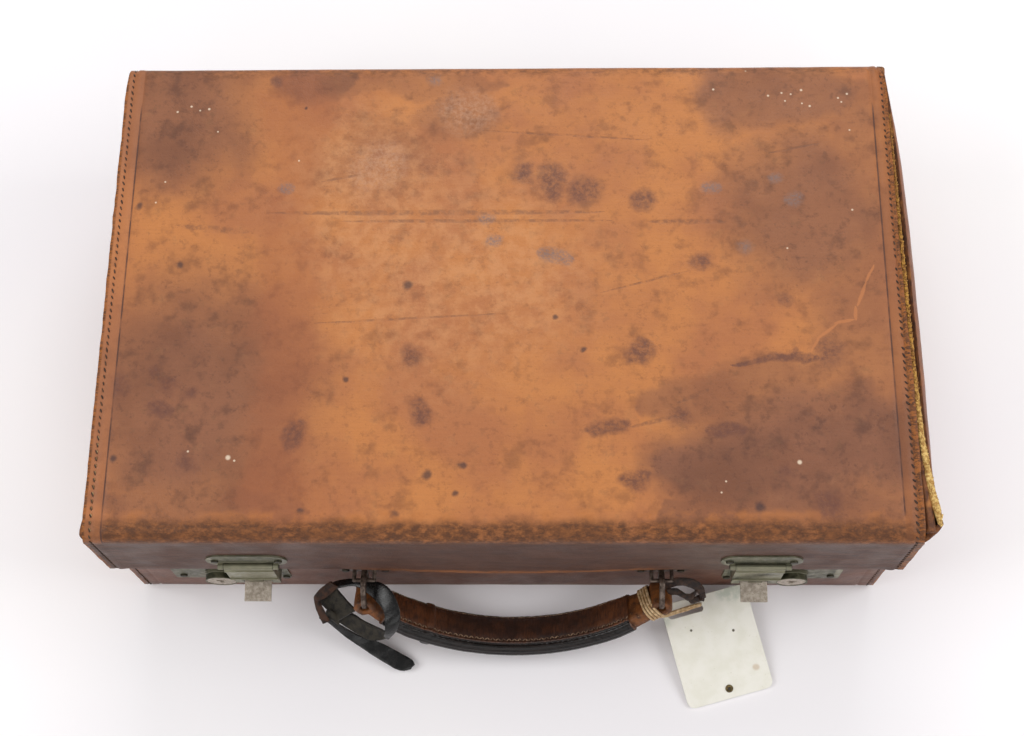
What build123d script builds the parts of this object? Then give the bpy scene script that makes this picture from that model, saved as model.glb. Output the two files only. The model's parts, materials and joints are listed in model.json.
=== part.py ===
from build123d import *
import math
import os

os.makedirs("parts", exist_ok=True)

# Case body: X runs along the length, the locks face -Y, Z is up from the resting face
CASE_LENGTH = 508.0
CASE_DEPTH = 328.0
CASE_HEIGHT = 146.0
LID_EDGE = 74.0
HIDE = 3.6
LINING = 0.8
BOARD = 2.4
FRONT_GAP = 1.6
END_GAP = 1.0
RIM_OVERLAP = 26.0
LID_ROLL = 8.0
BASE_ROLL = 6.0
LINING_REVEAL = 2.0
FIT = 0.05
RUNNING_GAP = 0.3

# The right end panel has sprung its seam and bows outward
BOW = 8.0
BOW_START = 150.0
EAR = 5.0
WELT_HEIGHT = 7.0

# Locks, one mirrored pair
LOCK_SPACING = 323.0
LOCK_PLATE_LENGTH = 77.0
LOCK_PLATE_HEIGHT = 38.0
LOCK_PLATE_FOOT = 30.0
PLATE = 1.2
PLATE_INBOARD = 18.5
HASP_WIDTH = 31.0
HASP_AXIS_RISE = 17.0
HASP_BARREL = 2.2
HASP_SHEET = 1.8
HASP_REACH = 24.5
HASP_PIN = 1.1
LID_PLATE_WIDTH = 51.0
LID_PLATE_HEIGHT = 22.0
KEY_OFFSET = 25.4
KEY_HEIGHT = 46.0
COLLAR_RADIUS = 11.0
COLLAR_REACH = 6.6
PLUG_RADIUS = 9.4
PLUG_SHAFT = 4.4
CATCH_WIDTH = 29.0
CATCH_FOOT = 49.0
CATCH_TOP = 65.2
CATCH_DEPTH = 8.0
NOTCH_WIDTH = 11.2
STAPLE_WIDTH = 9.2
STAPLE_DEPTH = 5.4
STAPLE_LENGTH = 9.0
TAB_WIDTH = 17.5
TAB_SHEET = 1.6
TAB_REACH = 16.0
TAB_DROOP = 2.5
LEVER_BARREL = 2.0
LEVER_PIN = 1.0
BOLT_TRAVEL = 5.0
BOLT_HEIGHT = 4.0
LOCK_CASE_DEPTH = 11.0
LOCK_CASE_WALL = 1.0
BOLT_NECK = 4.0
NOSE_CLEARANCE = 0.6
NOSE_LENGTH = 3.8
HASP_FLANGE = 1.4
HASP_LIP = 0.9
HASP_EYE_FOOT = 2.4
HASP_EAR = 3.4
LID_PLATE_DROP = 3.0
KEYHOLE_WIDTH = 6.4
KEYHOLE_STEM = 2.8
SPRING_START = 4.2
SPRING_WIDTH = 4.2
SPRING_SHEET = 0.5
RIVET_HEAD = 2.5
RIVET_SHANK = 1.2
RIVET_BURR = 2.0
BURR_HEIGHT = 0.8
LOCK_RIVET_INSET = 7.5
LOCK_RIVET_END = 6.0
LID_RIVET_SPREAD = 20.0
LID_RIVET_RISE = 8.0

# Hinges at the back
HINGE_SPACING = 300.0
HINGE_LENGTH = 44.0
HINGE_KNUCKLE = 2.6
HINGE_PIN = 1.5
HINGE_SHEET = 1.4
HINGE_LEAF = 26.0
HINGE_CRANK = 12.0
HINGE_RIVET_PITCH = 15.0
LID_HINGE_RIVET = 18.0
BASE_HINGE_RIVET = 14.0

# Handle, drooping from its two rings until the grip rests on the ground
HANDLE_SHIFT = 5.0
RING_SPACING = 193.0
STAPLE_AXIS_HEIGHT = 58.0
STAPLE_WIRE = 1.3
STAPLE_SPAN = 13.0
STAPLE_PLATE_WIDTH = 34.0
STAPLE_PLATE_HEIGHT = 20.0
STAPLE_RIVET_X = 13.0
STAPLE_RIVET_Z = 6.0
RING_BAR = 3.6
RING_LENGTH = 18.8
RING_STAND_OFF = 8.4
RING_WIDTH = 27.0
RING_NECK = 11.0
RING_CORNER = 4.5
HANDLE_DROOP = 60.0
HANDLE_SAG = 38.0
GRIP_SPAN = 114.0
GRIP_WIDTH = 31.0
GRIP_THICKNESS = 12.0
CORE_WIDTH = 12.0
CORE_THICKNESS = 5.0
EAR_WIDTH = 24.0
EAR_THICKNESS = 9.0
EYE_WALL = 3.4
EYE_LENGTH = 17.0

# Luggage strap looped through the left ring
STRAP_WIDTH = 10.2
STRAP_THICKNESS = 2.2
KEEPER_WALL = 1.8
KEEPER_DEPTH = 5.4
KEEPER_LENGTH = 8.0
KEEPER_PLACE = (-30.2, -12.5, 0.0)
KEEPER_TURN = 12.0

# Swing tag tied to the right end of the handle
TAG_WIDTH = 59.0
TAG_LENGTH = 70.6
TAG_SHEET = 1.2
TAG_CORNER = 5.0
TAG_RISE = 14.0
TAG_TURN = 15.5
TAG_OUT = 20.0
TAG_FORWARD = 83.4
TAG_SLOT_LENGTH = 24.0
TAG_SLOT_WIDTH = 4.0
TAG_SLOT_INSET = 6.5
TAG_SLOT_X = -14.0
TAG_HOLE_INSET = 6.4
TAG_HOLE = 1.6
EYELET_RADIUS = 2.6
EYELET_BORE = 0.9
EYELET_LIP = 0.5
THONG = 2.0
THONG_TURNS = 4.6
THONG_PLACE = 12.8

# Curved straps, as points measured from the middle of the ring they pass through
STRAP_TILT = Vector(-0.5, -0.35, 0.79).normalized()
LOOP_POINTS = [(-29.5, -16.0), (-31.0, -9.0), (-22.5, 2.0), (-10, 2.5), (9, 1.0), (21.5, -9), (21.5, -23.5), (4, -31.5),
               (-17, -27.5), (-32, -23.0)]
LOOP_RADII = [3.0, 6.0, 7.0, 7.5, 7.5, 7.5, 7.5, 5.0]
TAIL_STATIONS = [(-29.5, -11.0, 30.0, 1.6), (-27.0, -17.5, 20.5, 1.2), (-17.0, -23.0, 13.0, 0.6), (-5.0, -29.5, 7.2, 0.3),
                 (13.8, -37.2, 3.0, 0.1), (24.6, -42.0, 1.6, 0.0)]
TORN_STATIONS = [(-9.0, 1.0, 1.5, -0.75), (0.0, 1.2, 1.5, -0.75), (9.5, 2.0, 3.0, -0.6),
                 (18.0, 1.8, 4.6, -0.3), (24.5, -1.0, 2.4, 0.0), (25.0, -6.5, -1.6, 0.1)]
TORN_WIDTH = 7.2
TORN_THICKNESS = 1.8

# Positions that follow from the sizes above
HALF_LENGTH = CASE_LENGTH / 2
LID_FRONT = -CASE_DEPTH / 2
LID_INNER_X = HALF_LENGTH - HIDE
LID_INNER_Y = CASE_DEPTH / 2 - HIDE
BASE_X = LID_INNER_X - LINING - END_GAP
BASE_Y = LID_INNER_Y - LINING - FRONT_GAP
BASE_FRONT = -BASE_Y
BASE_RIM = LID_EDGE + RIM_OVERLAP
LOCK_X = LOCK_SPACING / 2
PLATE_FACE = BASE_FRONT - PLATE
HASP_Y = LID_FRONT - RUNNING_GAP - HASP_BARREL
HASP_Z = LID_EDGE + HASP_AXIS_RISE
HINGE_Y = CASE_DEPTH / 2 + RUNNING_GAP + HINGE_KNUCKLE
BAR_Y = PLATE_FACE - RING_STAND_OFF
RING_START = -(STAPLE_WIRE + RUNNING_GAP + RING_BAR / 2)
RING_END = RING_START + RING_LENGTH
EYE_BORE = RING_BAR * 0.58 + RUNNING_GAP
EYE_RADIUS = EYE_BORE + EYE_WALL
HANDLE_ARC = ((RING_SPACING / 2) ** 2 + HANDLE_SAG ** 2) / (2 * HANDLE_SAG)
HANDLE_CENTRE = RING_END + HANDLE_SAG - HANDLE_ARC
STAPLE_FOOT = HASP_Z - HASP_REACH - STAPLE_LENGTH
BOLT_LOW = STAPLE_FOOT + HASP_EYE_FOOT + 0.4
BOLT_BACK = HASP_Y - HASP_BARREL + HASP_SHEET + STAPLE_DEPTH - 1.2
BOLT_FRONT = BOLT_BACK - 3.0
LEVER_Y = PLATE_FACE - LEVER_BARREL * 2.2
LEVER_Z = CATCH_FOOT + LEVER_BARREL + 1.0
LID_HINGE_RIVET_Z = LID_EDGE + LID_HINGE_RIVET
BASE_HINGE_RIVET_Z = LID_EDGE - HINGE_CRANK - BASE_HINGE_RIVET


def save(shape, name):
    """Write one sub-part to its own file."""
    export_step(shape, f"parts/{name}.step")


def block(x0, x1, y0, y1, z0, z1):
    """A box from its two corners."""
    size = (abs(x1 - x0), abs(y1 - y0), abs(z1 - z0))
    return Pos((x0 + x1) / 2, (y0 + y1) / 2, (z0 + z1) / 2) * Box(*size)


def rod_x(x0, x1, y, z, radius):
    """A round bar along X."""
    return Pos((x0 + x1) / 2, y, z) * Rot(0, 90, 0) * Cylinder(radius, abs(x1 - x0))


def rod_y(x, y0, y1, z, radius):
    """A round bar along Y."""
    return Pos(x, (y0 + y1) / 2, z) * Rot(90, 0, 0) * Cylinder(radius, abs(y1 - y0))


def side_profile(points, x0, x1):
    """A prism along X from points given as (y, z)."""
    outline = Polyline(*[(x0, y, z) for y, z in points], close=True)
    return extrude(make_face(outline), amount=x1 - x0, dir=(1, 0, 0))


def rivets(places, face, direction, depth, hole=False):
    """Dome-headed rivets along Y; with hole=True only the clearance bores for them."""
    out = []
    for x, z in places:
        if hole:
            out.append(rod_y(x, face - direction * RIVET_HEAD, face + direction * (depth + 2), z,
                             RIVET_SHANK + FIT))
            continue
        shank = rod_y(x, face, face + direction * depth, z, RIVET_SHANK)
        dome = Pos(x, face, z) * Sphere(RIVET_HEAD)
        cap = block(x - RIVET_HEAD, x + RIVET_HEAD, face, face - direction * RIVET_HEAD * 0.45,
                    z - RIVET_HEAD, z + RIVET_HEAD)
        end = face + direction * depth
        burr = rod_y(x, end, end + direction * BURR_HEIGHT, z, RIVET_BURR)
        out.append((dome & cap) + shank + burr)
    return out


# Rivet places, shared by the rivets and by every hole they pass through
def lock_rivet_places(side):
    outer = side * (LOCK_X - PLATE_INBOARD + LOCK_PLATE_LENGTH - LOCK_RIVET_END)
    inner = side * (LOCK_X - PLATE_INBOARD + LOCK_RIVET_END / 2)
    low = LOCK_PLATE_FOOT + LOCK_RIVET_INSET
    high = LOCK_PLATE_FOOT + LOCK_PLATE_HEIGHT - LOCK_RIVET_INSET
    return [(outer, low), (outer, high), (inner, LOCK_PLATE_FOOT + LOCK_RIVET_INSET / 2)]


def lid_plate_rivet_places(side):
    return [(side * LOCK_X + dx, HASP_Z + LID_RIVET_RISE) for dx in (-LID_RIVET_SPREAD, LID_RIVET_SPREAD)]


def staple_rivet_places(side):
    x = HANDLE_SHIFT + side * RING_SPACING / 2
    corners = [(-1, -1), (-1, 1), (1, -1), (1, 1)]
    return [(x + i * STAPLE_RIVET_X, STAPLE_AXIS_HEIGHT + k * STAPLE_RIVET_Z) for i, k in corners]


def hinge_rivet_places(side, height):
    return [(side * HINGE_SPACING / 2 + i * HINGE_RIVET_PITCH, height) for i in (-1, 0, 1)]


def lock_case_block(side, grow=0.0):
    """The pocket that the lock case fills behind its plate."""
    x0 = side * (LOCK_X - CATCH_WIDTH / 2 + 2.0 - grow)
    x1 = side * (LOCK_X + KEY_OFFSET + 12.0 + grow)
    z0 = LOCK_PLATE_FOOT + 3.0 - grow
    z1 = LOCK_PLATE_FOOT + LOCK_PLATE_HEIGHT - 2.0 + grow
    return block(x0, x1, BASE_FRONT, BASE_FRONT + LOCK_CASE_DEPTH + grow, z0, z1)


# Leather shells
def wrap(half_x, half_y, low, high, roll, open_below):
    """One hide bent round three sides: front wall, broad face and back wall."""
    outer = block(-half_x, half_x, -half_y, half_y, low, high)
    corner = outer.edges().filter_by(Axis.X).group_by(Axis.Z)[-1 if open_below else 0]
    outer = fillet(corner, roll)
    z0 = low - 1 if open_below else low + HIDE
    z1 = high - HIDE if open_below else high + 1
    inner = block(-half_x - 1, half_x + 1, -half_y + HIDE, half_y - HIDE, z0, z1)
    corner = inner.edges().filter_by(Axis.X).group_by(Axis.Z)[-1 if open_below else 0]
    return outer - fillet(corner, roll - HIDE)


def end_profile(x0, x1, half_y, low, high, roll, round_top):
    """The solid that fills a wrap's end between x0 and x1."""
    plate = block(x0, x1, -half_y, half_y, low, high)
    corner = plate.edges().filter_by(Axis.X).group_by(Axis.Z)[-1 if round_top else 0]
    return fillet(corner, roll)


def lid_hide():
    hide = wrap(HALF_LENGTH, CASE_DEPTH / 2, LID_EDGE, CASE_HEIGHT, LID_ROLL, True)
    for side in (-1, 1):
        for hole in rivets(lid_plate_rivet_places(side), LID_FRONT, 1, HIDE, hole=True):
            hide -= hole
        for hole in rivets(hinge_rivet_places(side, LID_HINGE_RIVET_Z), CASE_DEPTH / 2, -1, HIDE, hole=True):
            hide -= hole
    return hide


def base_hide():
    hide = wrap(BASE_X, BASE_Y, 0, BASE_RIM, BASE_ROLL, False)
    for side in (-1, 1):
        hide -= lock_case_block(side)
        holes = rivets(lock_rivet_places(side) + staple_rivet_places(side), BASE_FRONT, 1, HIDE, hole=True)
        holes += rivets(hinge_rivet_places(side, BASE_HINGE_RIVET_Z), BASE_Y, -1, HIDE, hole=True)
        for hole in holes:
            hide -= hole
    return hide


def lid_end_left():
    return end_profile(-HALF_LENGTH, -LID_INNER_X, LID_INNER_Y, LID_EDGE, CASE_HEIGHT - HIDE,
                       LID_ROLL - HIDE, True)


def bow_line(offset):
    """Plan curve of the sprung panel, from the back corner to the front one."""
    x = HALF_LENGTH + offset
    return Spline((x, BOW_START), (x + BOW * 0.75, BOW_START * 0.45), (x + BOW, -BOW_START * 0.2),
                  (x + BOW, -BOW_START * 0.8), (x + BOW + EAR, -LID_INNER_Y))


def bowed_strip(inner, outer):
    """Plan face between two parallel bow lines."""
    near = bow_line(inner)
    far = bow_line(outer)
    return make_face([near, far, Line(near @ 0, far @ 0), Line(near @ 1, far @ 1)])


def lid_end_right():
    strip = Pos(0, 0, LID_EDGE) * bowed_strip(-HIDE, 0.0)
    panel = extrude(strip, amount=CASE_HEIGHT - HIDE - LID_EDGE, dir=(0, 0, 1))
    back = block(LID_INNER_X, HALF_LENGTH, BOW_START, LID_INNER_Y, LID_EDGE, CASE_HEIGHT - HIDE)
    room = end_profile(LID_INNER_X - 1, HALF_LENGTH + BOW + EAR + 1, LID_INNER_Y, LID_EDGE,
                       CASE_HEIGHT - HIDE, LID_ROLL - HIDE, True)
    return (panel + back) & room


def lid_welt_right():
    """Filler strip of the end seam, laid bare where the panel has sprung."""
    top = CASE_HEIGHT - HIDE
    strip = Pos(0, 0, top - WELT_HEIGHT) * bowed_strip(-HIDE - BOW - 1, -HIDE)
    crescent = extrude(strip, amount=WELT_HEIGHT, dir=(0, 0, 1))
    room = block(LID_INNER_X, HALF_LENGTH + BOW, -BOW_START * 0.8, BOW_START * 0.6, top - WELT_HEIGHT, top)
    return crescent & room


def board(half_x, half_y, low, high):
    return block(-half_x, half_x, -half_y, half_y, low, high)


def lid_lining():
    low = LID_EDGE + LINING_REVEAL
    high = CASE_HEIGHT - HIDE - BOARD
    roll = LID_ROLL - HIDE
    outer = block(-LID_INNER_X, LID_INNER_X, -LID_INNER_Y, LID_INNER_Y, low, high)
    outer = fillet(outer.edges().filter_by(Axis.X).group_by(Axis.Z)[-1], roll)
    inner = block(-LID_INNER_X + LINING, LID_INNER_X - LINING, -LID_INNER_Y + LINING,
                  LID_INNER_Y - LINING, low - 1, high - LINING)
    inner = fillet(inner.edges().filter_by(Axis.X).group_by(Axis.Z)[-1], roll - LINING)
    lining = outer - inner
    for side in (-1, 1):
        for hole in rivets(lid_plate_rivet_places(side), LID_FRONT, 1, HIDE, hole=True):
            lining -= hole
        for x, z in lid_plate_rivet_places(side):
            lining -= rod_y(x, -LID_INNER_Y, -LID_INNER_Y + 2, z, RIVET_BURR + FIT)
        for x, z in hinge_rivet_places(side, LID_HINGE_RIVET_Z):
            lining -= rod_y(x, LID_INNER_Y - 2, LID_INNER_Y, z, RIVET_BURR + FIT)
    return lining


def base_lining():
    half_x = BASE_X - HIDE
    half_y = BASE_Y - HIDE
    low = HIDE + BOARD
    high = BASE_RIM - LINING_REVEAL
    roll = BASE_ROLL - HIDE
    outer = block(-half_x, half_x, -half_y, half_y, low, high)
    outer = fillet(outer.edges().filter_by(Axis.X).group_by(Axis.Z)[0], roll)
    inner = block(-half_x + LINING, half_x - LINING, -half_y + LINING, half_y - LINING,
                  low + LINING, high + 1)
    inner = fillet(inner.edges().filter_by(Axis.X).group_by(Axis.Z)[0], roll - LINING)
    lining = outer - inner
    for side in (-1, 1):
        lining -= lock_case_block(side, FIT)
        for x, z in lock_rivet_places(side) + staple_rivet_places(side):
            lining -= rod_y(x, -half_y, -half_y + 2, z, RIVET_BURR + FIT)
        for x, z in hinge_rivet_places(side, BASE_HINGE_RIVET_Z):
            lining -= rod_y(x, half_y - 2, half_y, z, RIVET_BURR + FIT)
    return lining


# Locks: each is drawn at X = 0 on the right-hand pattern, then placed or mirrored
def place_lock(shape, side):
    if side < 0:
        shape = mirror(shape, about=Plane.YZ)
    return Pos(side * LOCK_X, 0, 0) * shape


def local_rivets(places, side):
    return [(side * x - LOCK_X, z) for x, z in places]


def lid_plate():
    low = HASP_Z - LID_PLATE_DROP
    outline = RectangleRounded(LID_PLATE_WIDTH, LID_PLATE_HEIGHT, LID_PLATE_HEIGHT / 2 - 0.5)
    plate = Plane((0, LID_FRONT, low + LID_PLATE_HEIGHT / 2), x_dir=(1, 0, 0), z_dir=(0, -1, 0)) * outline
    plate = extrude(plate, amount=PLATE)
    half = HASP_WIDTH / 2 + RUNNING_GAP
    plate -= block(-half, half, LID_FRONT - 3, LID_FRONT, low - 1, HASP_Z + HASP_BARREL + RUNNING_GAP)
    for end in (-1, 1):
        ear = rod_x(end * half, end * (half + HASP_EAR), HASP_Y, HASP_Z, HASP_BARREL)
        ear += block(end * half, end * (half + HASP_EAR), LID_FRONT - PLATE, HASP_Y, HASP_Z - 2, HASP_Z + 2)
        plate += ear
    plate -= rod_x(-LID_PLATE_WIDTH, LID_PLATE_WIDTH, HASP_Y, HASP_Z, HASP_PIN + FIT)
    for x, z in local_rivets(lid_plate_rivet_places(1), 1):
        plate -= rod_y(x, LID_FRONT - 3, LID_FRONT, z, RIVET_SHANK + FIT)
    return plate


def hasp():
    front = HASP_Y - HASP_BARREL
    low = HASP_Z - HASP_REACH
    half = HASP_WIDTH / 2
    body = rod_x(-half, half, HASP_Y, HASP_Z, HASP_BARREL)
    body += block(-half, half, front, front + HASP_SHEET, low, HASP_Z)
    for end in (-1, 1):
        body += block(end * (half - HASP_FLANGE), end * half, front, LID_FRONT - RUNNING_GAP, low, HASP_Z)
    for foot in (low, HASP_Z - 3 * HASP_FLANGE):
        body += block(-half, half, front - HASP_LIP, front + HASP_SHEET / 2, foot, foot + HASP_FLANGE)
    tongue_back = front + HASP_SHEET + STAPLE_DEPTH
    half_staple = STAPLE_WIDTH / 2
    body += block(-half_staple, half_staple, front, tongue_back, low - STAPLE_LENGTH, low + 1.0)
    eye_low = STAPLE_FOOT + HASP_EYE_FOOT
    body -= block(-half_staple - 1, half_staple + 1, tongue_back - 4.4, tongue_back - 1.0,
                  eye_low, eye_low + BOLT_HEIGHT + 0.8)
    return body - rod_x(-half - 1, half + 1, HASP_Y, HASP_Z, HASP_PIN + FIT)


def hasp_pin():
    half = HASP_WIDTH / 2 + RUNNING_GAP + HASP_EAR + 0.4
    return rod_x(-half, half, HASP_Y, HASP_Z, HASP_PIN)


def bolt_shape(grow=0.0, travel=0.0):
    """Key-driven bolt: a nose beside the staple, a web through the wall and a bar in the case."""
    low, high = BOLT_LOW - grow, BOLT_LOW + BOLT_HEIGHT + grow
    nose = NOTCH_WIDTH / 2 + NOSE_CLEARANCE
    neck = nose + NOSE_LENGTH
    end = neck + BOLT_NECK
    body = block(nose - travel - grow, end + grow, BOLT_FRONT - grow, BOLT_BACK + grow, low, high)
    inner = BASE_FRONT + LOCK_CASE_DEPTH - LOCK_CASE_WALL - 3.0
    body += block(neck - travel - grow, end + grow, BOLT_FRONT, inner, low, high)
    if grow == 0:
        body += block(neck, KEY_OFFSET + 3.0, inner - 2.5, inner, low, high)
    return body


def lock_plate():
    x0 = -PLATE_INBOARD
    x1 = LOCK_PLATE_LENGTH - PLATE_INBOARD
    top = LOCK_PLATE_FOOT + LOCK_PLATE_HEIGHT
    plate = block(x0, x1, PLATE_FACE, BASE_FRONT, LOCK_PLATE_FOOT, top)
    plate = fillet(plate.edges().filter_by(Axis.Y), 2.0)
    front = PLATE_FACE - CATCH_DEPTH
    half = CATCH_WIDTH / 2
    housing = block(-half, half, front, PLATE_FACE, CATCH_FOOT, CATCH_TOP)
    housing -= block(-NOTCH_WIDTH / 2, NOTCH_WIDTH / 2, front - 1, PLATE_FACE, STAPLE_FOOT - 1.6, CATCH_TOP + 1)
    slot = TAB_WIDTH / 2 + 0.4
    housing -= block(-slot, slot, front - 1, PLATE_FACE, CATCH_FOOT - 1, LEVER_Z + LEVER_BARREL + 1.2)
    plate += housing
    plate -= rod_x(-half - 1, half + 1, LEVER_Y, LEVER_Z, LEVER_PIN + FIT)
    plate -= bolt_shape(0.2, BOLT_TRAVEL)
    plate -= rod_y(KEY_OFFSET, PLATE_FACE - 1, BASE_FRONT + 1, KEY_HEIGHT, PLUG_SHAFT + FIT)
    for x, z in local_rivets(lock_rivet_places(1), 1):
        plate -= rod_y(x, PLATE_FACE - 3, BASE_FRONT + 1, z, RIVET_SHANK + FIT)
    return plate


def key_collar():
    face = PLATE_FACE - COLLAR_REACH
    body = rod_y(KEY_OFFSET, face, PLATE_FACE, KEY_HEIGHT, COLLAR_RADIUS - 0.6)
    body += rod_y(KEY_OFFSET, PLATE_FACE - 2.6, PLATE_FACE, KEY_HEIGHT, COLLAR_RADIUS)
    body -= rod_y(KEY_OFFSET, face - 1, face + 2.0, KEY_HEIGHT, PLUG_RADIUS + FIT)
    return body - rod_y(KEY_OFFSET, face - 1, PLATE_FACE + 1, KEY_HEIGHT, PLUG_SHAFT + FIT)


def key_plug():
    face = PLATE_FACE - COLLAR_REACH
    inner = BASE_FRONT + LOCK_CASE_DEPTH - LOCK_CASE_WALL - 0.4
    plug = rod_y(KEY_OFFSET, face + 0.3, face + 1.9, KEY_HEIGHT, PLUG_RADIUS)
    plug += rod_y(KEY_OFFSET, face + 1.0, inner, KEY_HEIGHT, PLUG_SHAFT)
    plug += block(KEY_OFFSET - 2, KEY_OFFSET + 2, inner - 3.0, inner, KEY_HEIGHT,
                  BOLT_LOW - RUNNING_GAP)
    bar, stem = KEYHOLE_WIDTH / 2, KEYHOLE_STEM / 2
    depth = face + 5
    keyhole = block(KEY_OFFSET - bar, KEY_OFFSET + bar, face - 1, depth, KEY_HEIGHT, KEY_HEIGHT + KEYHOLE_STEM)
    keyhole += block(KEY_OFFSET - stem, KEY_OFFSET + stem, face - 1, depth, KEY_HEIGHT - 4, KEY_HEIGHT + 2)
    return plug - keyhole


def lock_case():
    box = lock_case_block(1)
    x0, x1 = LOCK_X - CATCH_WIDTH / 2 + 2.0, LOCK_X + KEY_OFFSET + 12.0
    wall = LOCK_CASE_WALL
    hollow = block(x0 + wall, x1 - wall, BASE_FRONT - 1, BASE_FRONT + LOCK_CASE_DEPTH - wall,
                   LOCK_PLATE_FOOT + 3.0 + wall, LOCK_PLATE_FOOT + LOCK_PLATE_HEIGHT - 2.0 - wall)
    return Pos(-LOCK_X, 0, 0) * (box - hollow)


def thumb_lever():
    half = TAB_WIDTH / 2
    lever = rod_x(-half, half, LEVER_Y, LEVER_Z, LEVER_BARREL)
    tip_y = LEVER_Y - TAB_REACH
    tip_z = LEVER_Z - TAB_DROOP
    lift = TAB_SHEET / 2
    lever += side_profile([(LEVER_Y, LEVER_Z - lift), (LEVER_Y, LEVER_Z + lift),
                           (tip_y, tip_z + lift), (tip_y, tip_z - lift)], -half, half)
    lever += block(-3.5, 3.5, LEVER_Y, LEVER_Y + 3.6, LEVER_Z - 0.8, LEVER_Z + 0.8)
    return lever - rod_x(-half - 1, half + 1, LEVER_Y, LEVER_Z, LEVER_PIN + FIT)


def lever_pin():
    half = CATCH_WIDTH / 2
    return rod_x(-half - 0.3, half + 0.3, LEVER_Y, LEVER_Z, LEVER_PIN)


def lever_spring():
    """Leaf spring standing against the plate behind the lever's barrel."""
    face = LEVER_Y + LEVER_BARREL + RUNNING_GAP
    x0, x1 = SPRING_START, SPRING_START + SPRING_WIDTH
    low = CATCH_FOOT + 1.0
    spring = block(x0, x1, face, face + SPRING_SHEET, low, LEVER_Z + LEVER_BARREL + 1.2)
    return spring + block(x0, x1, face, PLATE_FACE, low, low + SPRING_SHEET)


# Hinges
def hinge_segments():
    third = HINGE_LENGTH / 3
    gap = RUNNING_GAP / 2
    lid = [(-HINGE_LENGTH / 2, -third / 2 - gap), (third / 2 + gap, HINGE_LENGTH / 2)]
    return lid, [(-third / 2 + gap, third / 2 - gap)]


def hinge_lid_leaf():
    back = CASE_DEPTH / 2
    half = HINGE_LENGTH / 2
    clear = HINGE_KNUCKLE + RUNNING_GAP * 2
    leaf = block(-half, half, back, back + HINGE_SHEET, LID_EDGE + clear, LID_EDGE + HINGE_LEAF)
    for x0, x1 in hinge_segments()[0]:
        leaf += rod_x(x0, x1, HINGE_Y, LID_EDGE, HINGE_KNUCKLE)
        leaf += block(x0, x1, back, back + HINGE_SHEET, LID_EDGE, LID_EDGE + clear + 0.5)
    leaf -= rod_x(-half - 1, half + 1, HINGE_Y, LID_EDGE, HINGE_PIN + FIT)
    for x, z in hinge_rivet_places(0, LID_HINGE_RIVET_Z):
        leaf -= rod_y(x, back - 1, back + 3, z, RIVET_SHANK + FIT)
    return leaf


def hinge_base_leaf():
    wall = BASE_Y
    half = HINGE_LENGTH / 2
    crank = LID_EDGE - HINGE_CRANK
    foot = crank - HINGE_LEAF
    leaf = block(-half, half, wall, wall + HINGE_SHEET, foot, crank)
    reach = HINGE_Y + 0.7
    outline = [(wall, crank - 2), (wall + HINGE_SHEET, crank - 2), (reach, LID_EDGE - 5.4),
               (reach, LID_EDGE - 2.0), (HINGE_Y, LID_EDGE), (HINGE_Y - 1.8, LID_EDGE - 1.2),
               (HINGE_Y - 2.0, LID_EDGE - 3.8), (wall, crank + 1)]
    for x0, x1 in hinge_segments()[1]:
        leaf += side_profile(outline, x0, x1)
        leaf += rod_x(x0, x1, HINGE_Y, LID_EDGE, HINGE_KNUCKLE)
    leaf -= rod_x(-half - 1, half + 1, HINGE_Y, LID_EDGE, HINGE_PIN + FIT)
    for x, z in hinge_rivet_places(0, BASE_HINGE_RIVET_Z):
        leaf -= rod_y(x, wall - 1, wall + 3, z, RIVET_SHANK + FIT)
    return leaf


def hinge_pin():
    half = HINGE_LENGTH / 2
    return rod_x(-half - 0.6, half + 0.6, HINGE_Y, LID_EDGE, HINGE_PIN)


# Handle, drawn flat in its own plane and then tilted down from the staple bars
def handle_plane():
    tilt = math.radians(HANDLE_DROOP)
    return Plane((HANDLE_SHIFT, BAR_Y, STAPLE_AXIS_HEIGHT), x_dir=(1, 0, 0),
                 z_dir=(0, math.sin(tilt), -math.cos(tilt)))


def ring_outline(grow):
    """Ring outline in the handle's plane: narrow at the wall end, square-shouldered at the eye."""
    neck, width = RING_NECK / 2 + grow, RING_WIDTH / 2 + grow
    start, end = RING_START - grow, RING_END + grow
    outline = make_face(Polyline((start, -neck), (end, -width), (end, width), (start, neck), close=True))
    return fillet(outline.vertices(), RING_CORNER + grow)


def ring():
    side = Plane((0, 0, 0), x_dir=(0, 1, 0), z_dir=(1, 0, 0))
    face = ring_outline(RING_BAR / 2) - ring_outline(-RING_BAR / 2)
    body = extrude(side * face, amount=RING_BAR / 2, both=True)
    return fillet(body.edges(), RING_BAR * 0.3)


def staple(side):
    x = HANDLE_SHIFT + side * RING_SPACING / 2
    z = STAPLE_AXIS_HEIGHT
    half = STAPLE_SPAN / 2
    half_x, half_z = STAPLE_PLATE_WIDTH / 2, STAPLE_PLATE_HEIGHT / 2
    body = block(x - half_x, x + half_x, PLATE_FACE, BASE_FRONT, z - half_z, z + half_z)
    body = fillet(body.edges().filter_by(Axis.Y), 3.0)
    body += rod_x(x - half, x + half, BAR_Y, z, STAPLE_WIRE)
    for end in (-1, 1):
        body += rod_y(x + end * half, BAR_Y, PLATE_FACE + 0.5, z, STAPLE_WIRE)
        body += Pos(x + end * half, BAR_Y, z) * Sphere(STAPLE_WIRE)
    for rx, rz in staple_rivet_places(side):
        body -= rod_y(rx, PLATE_FACE - 2, BASE_FRONT + 1, rz, RIVET_SHANK + FIT)
    return body


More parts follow.
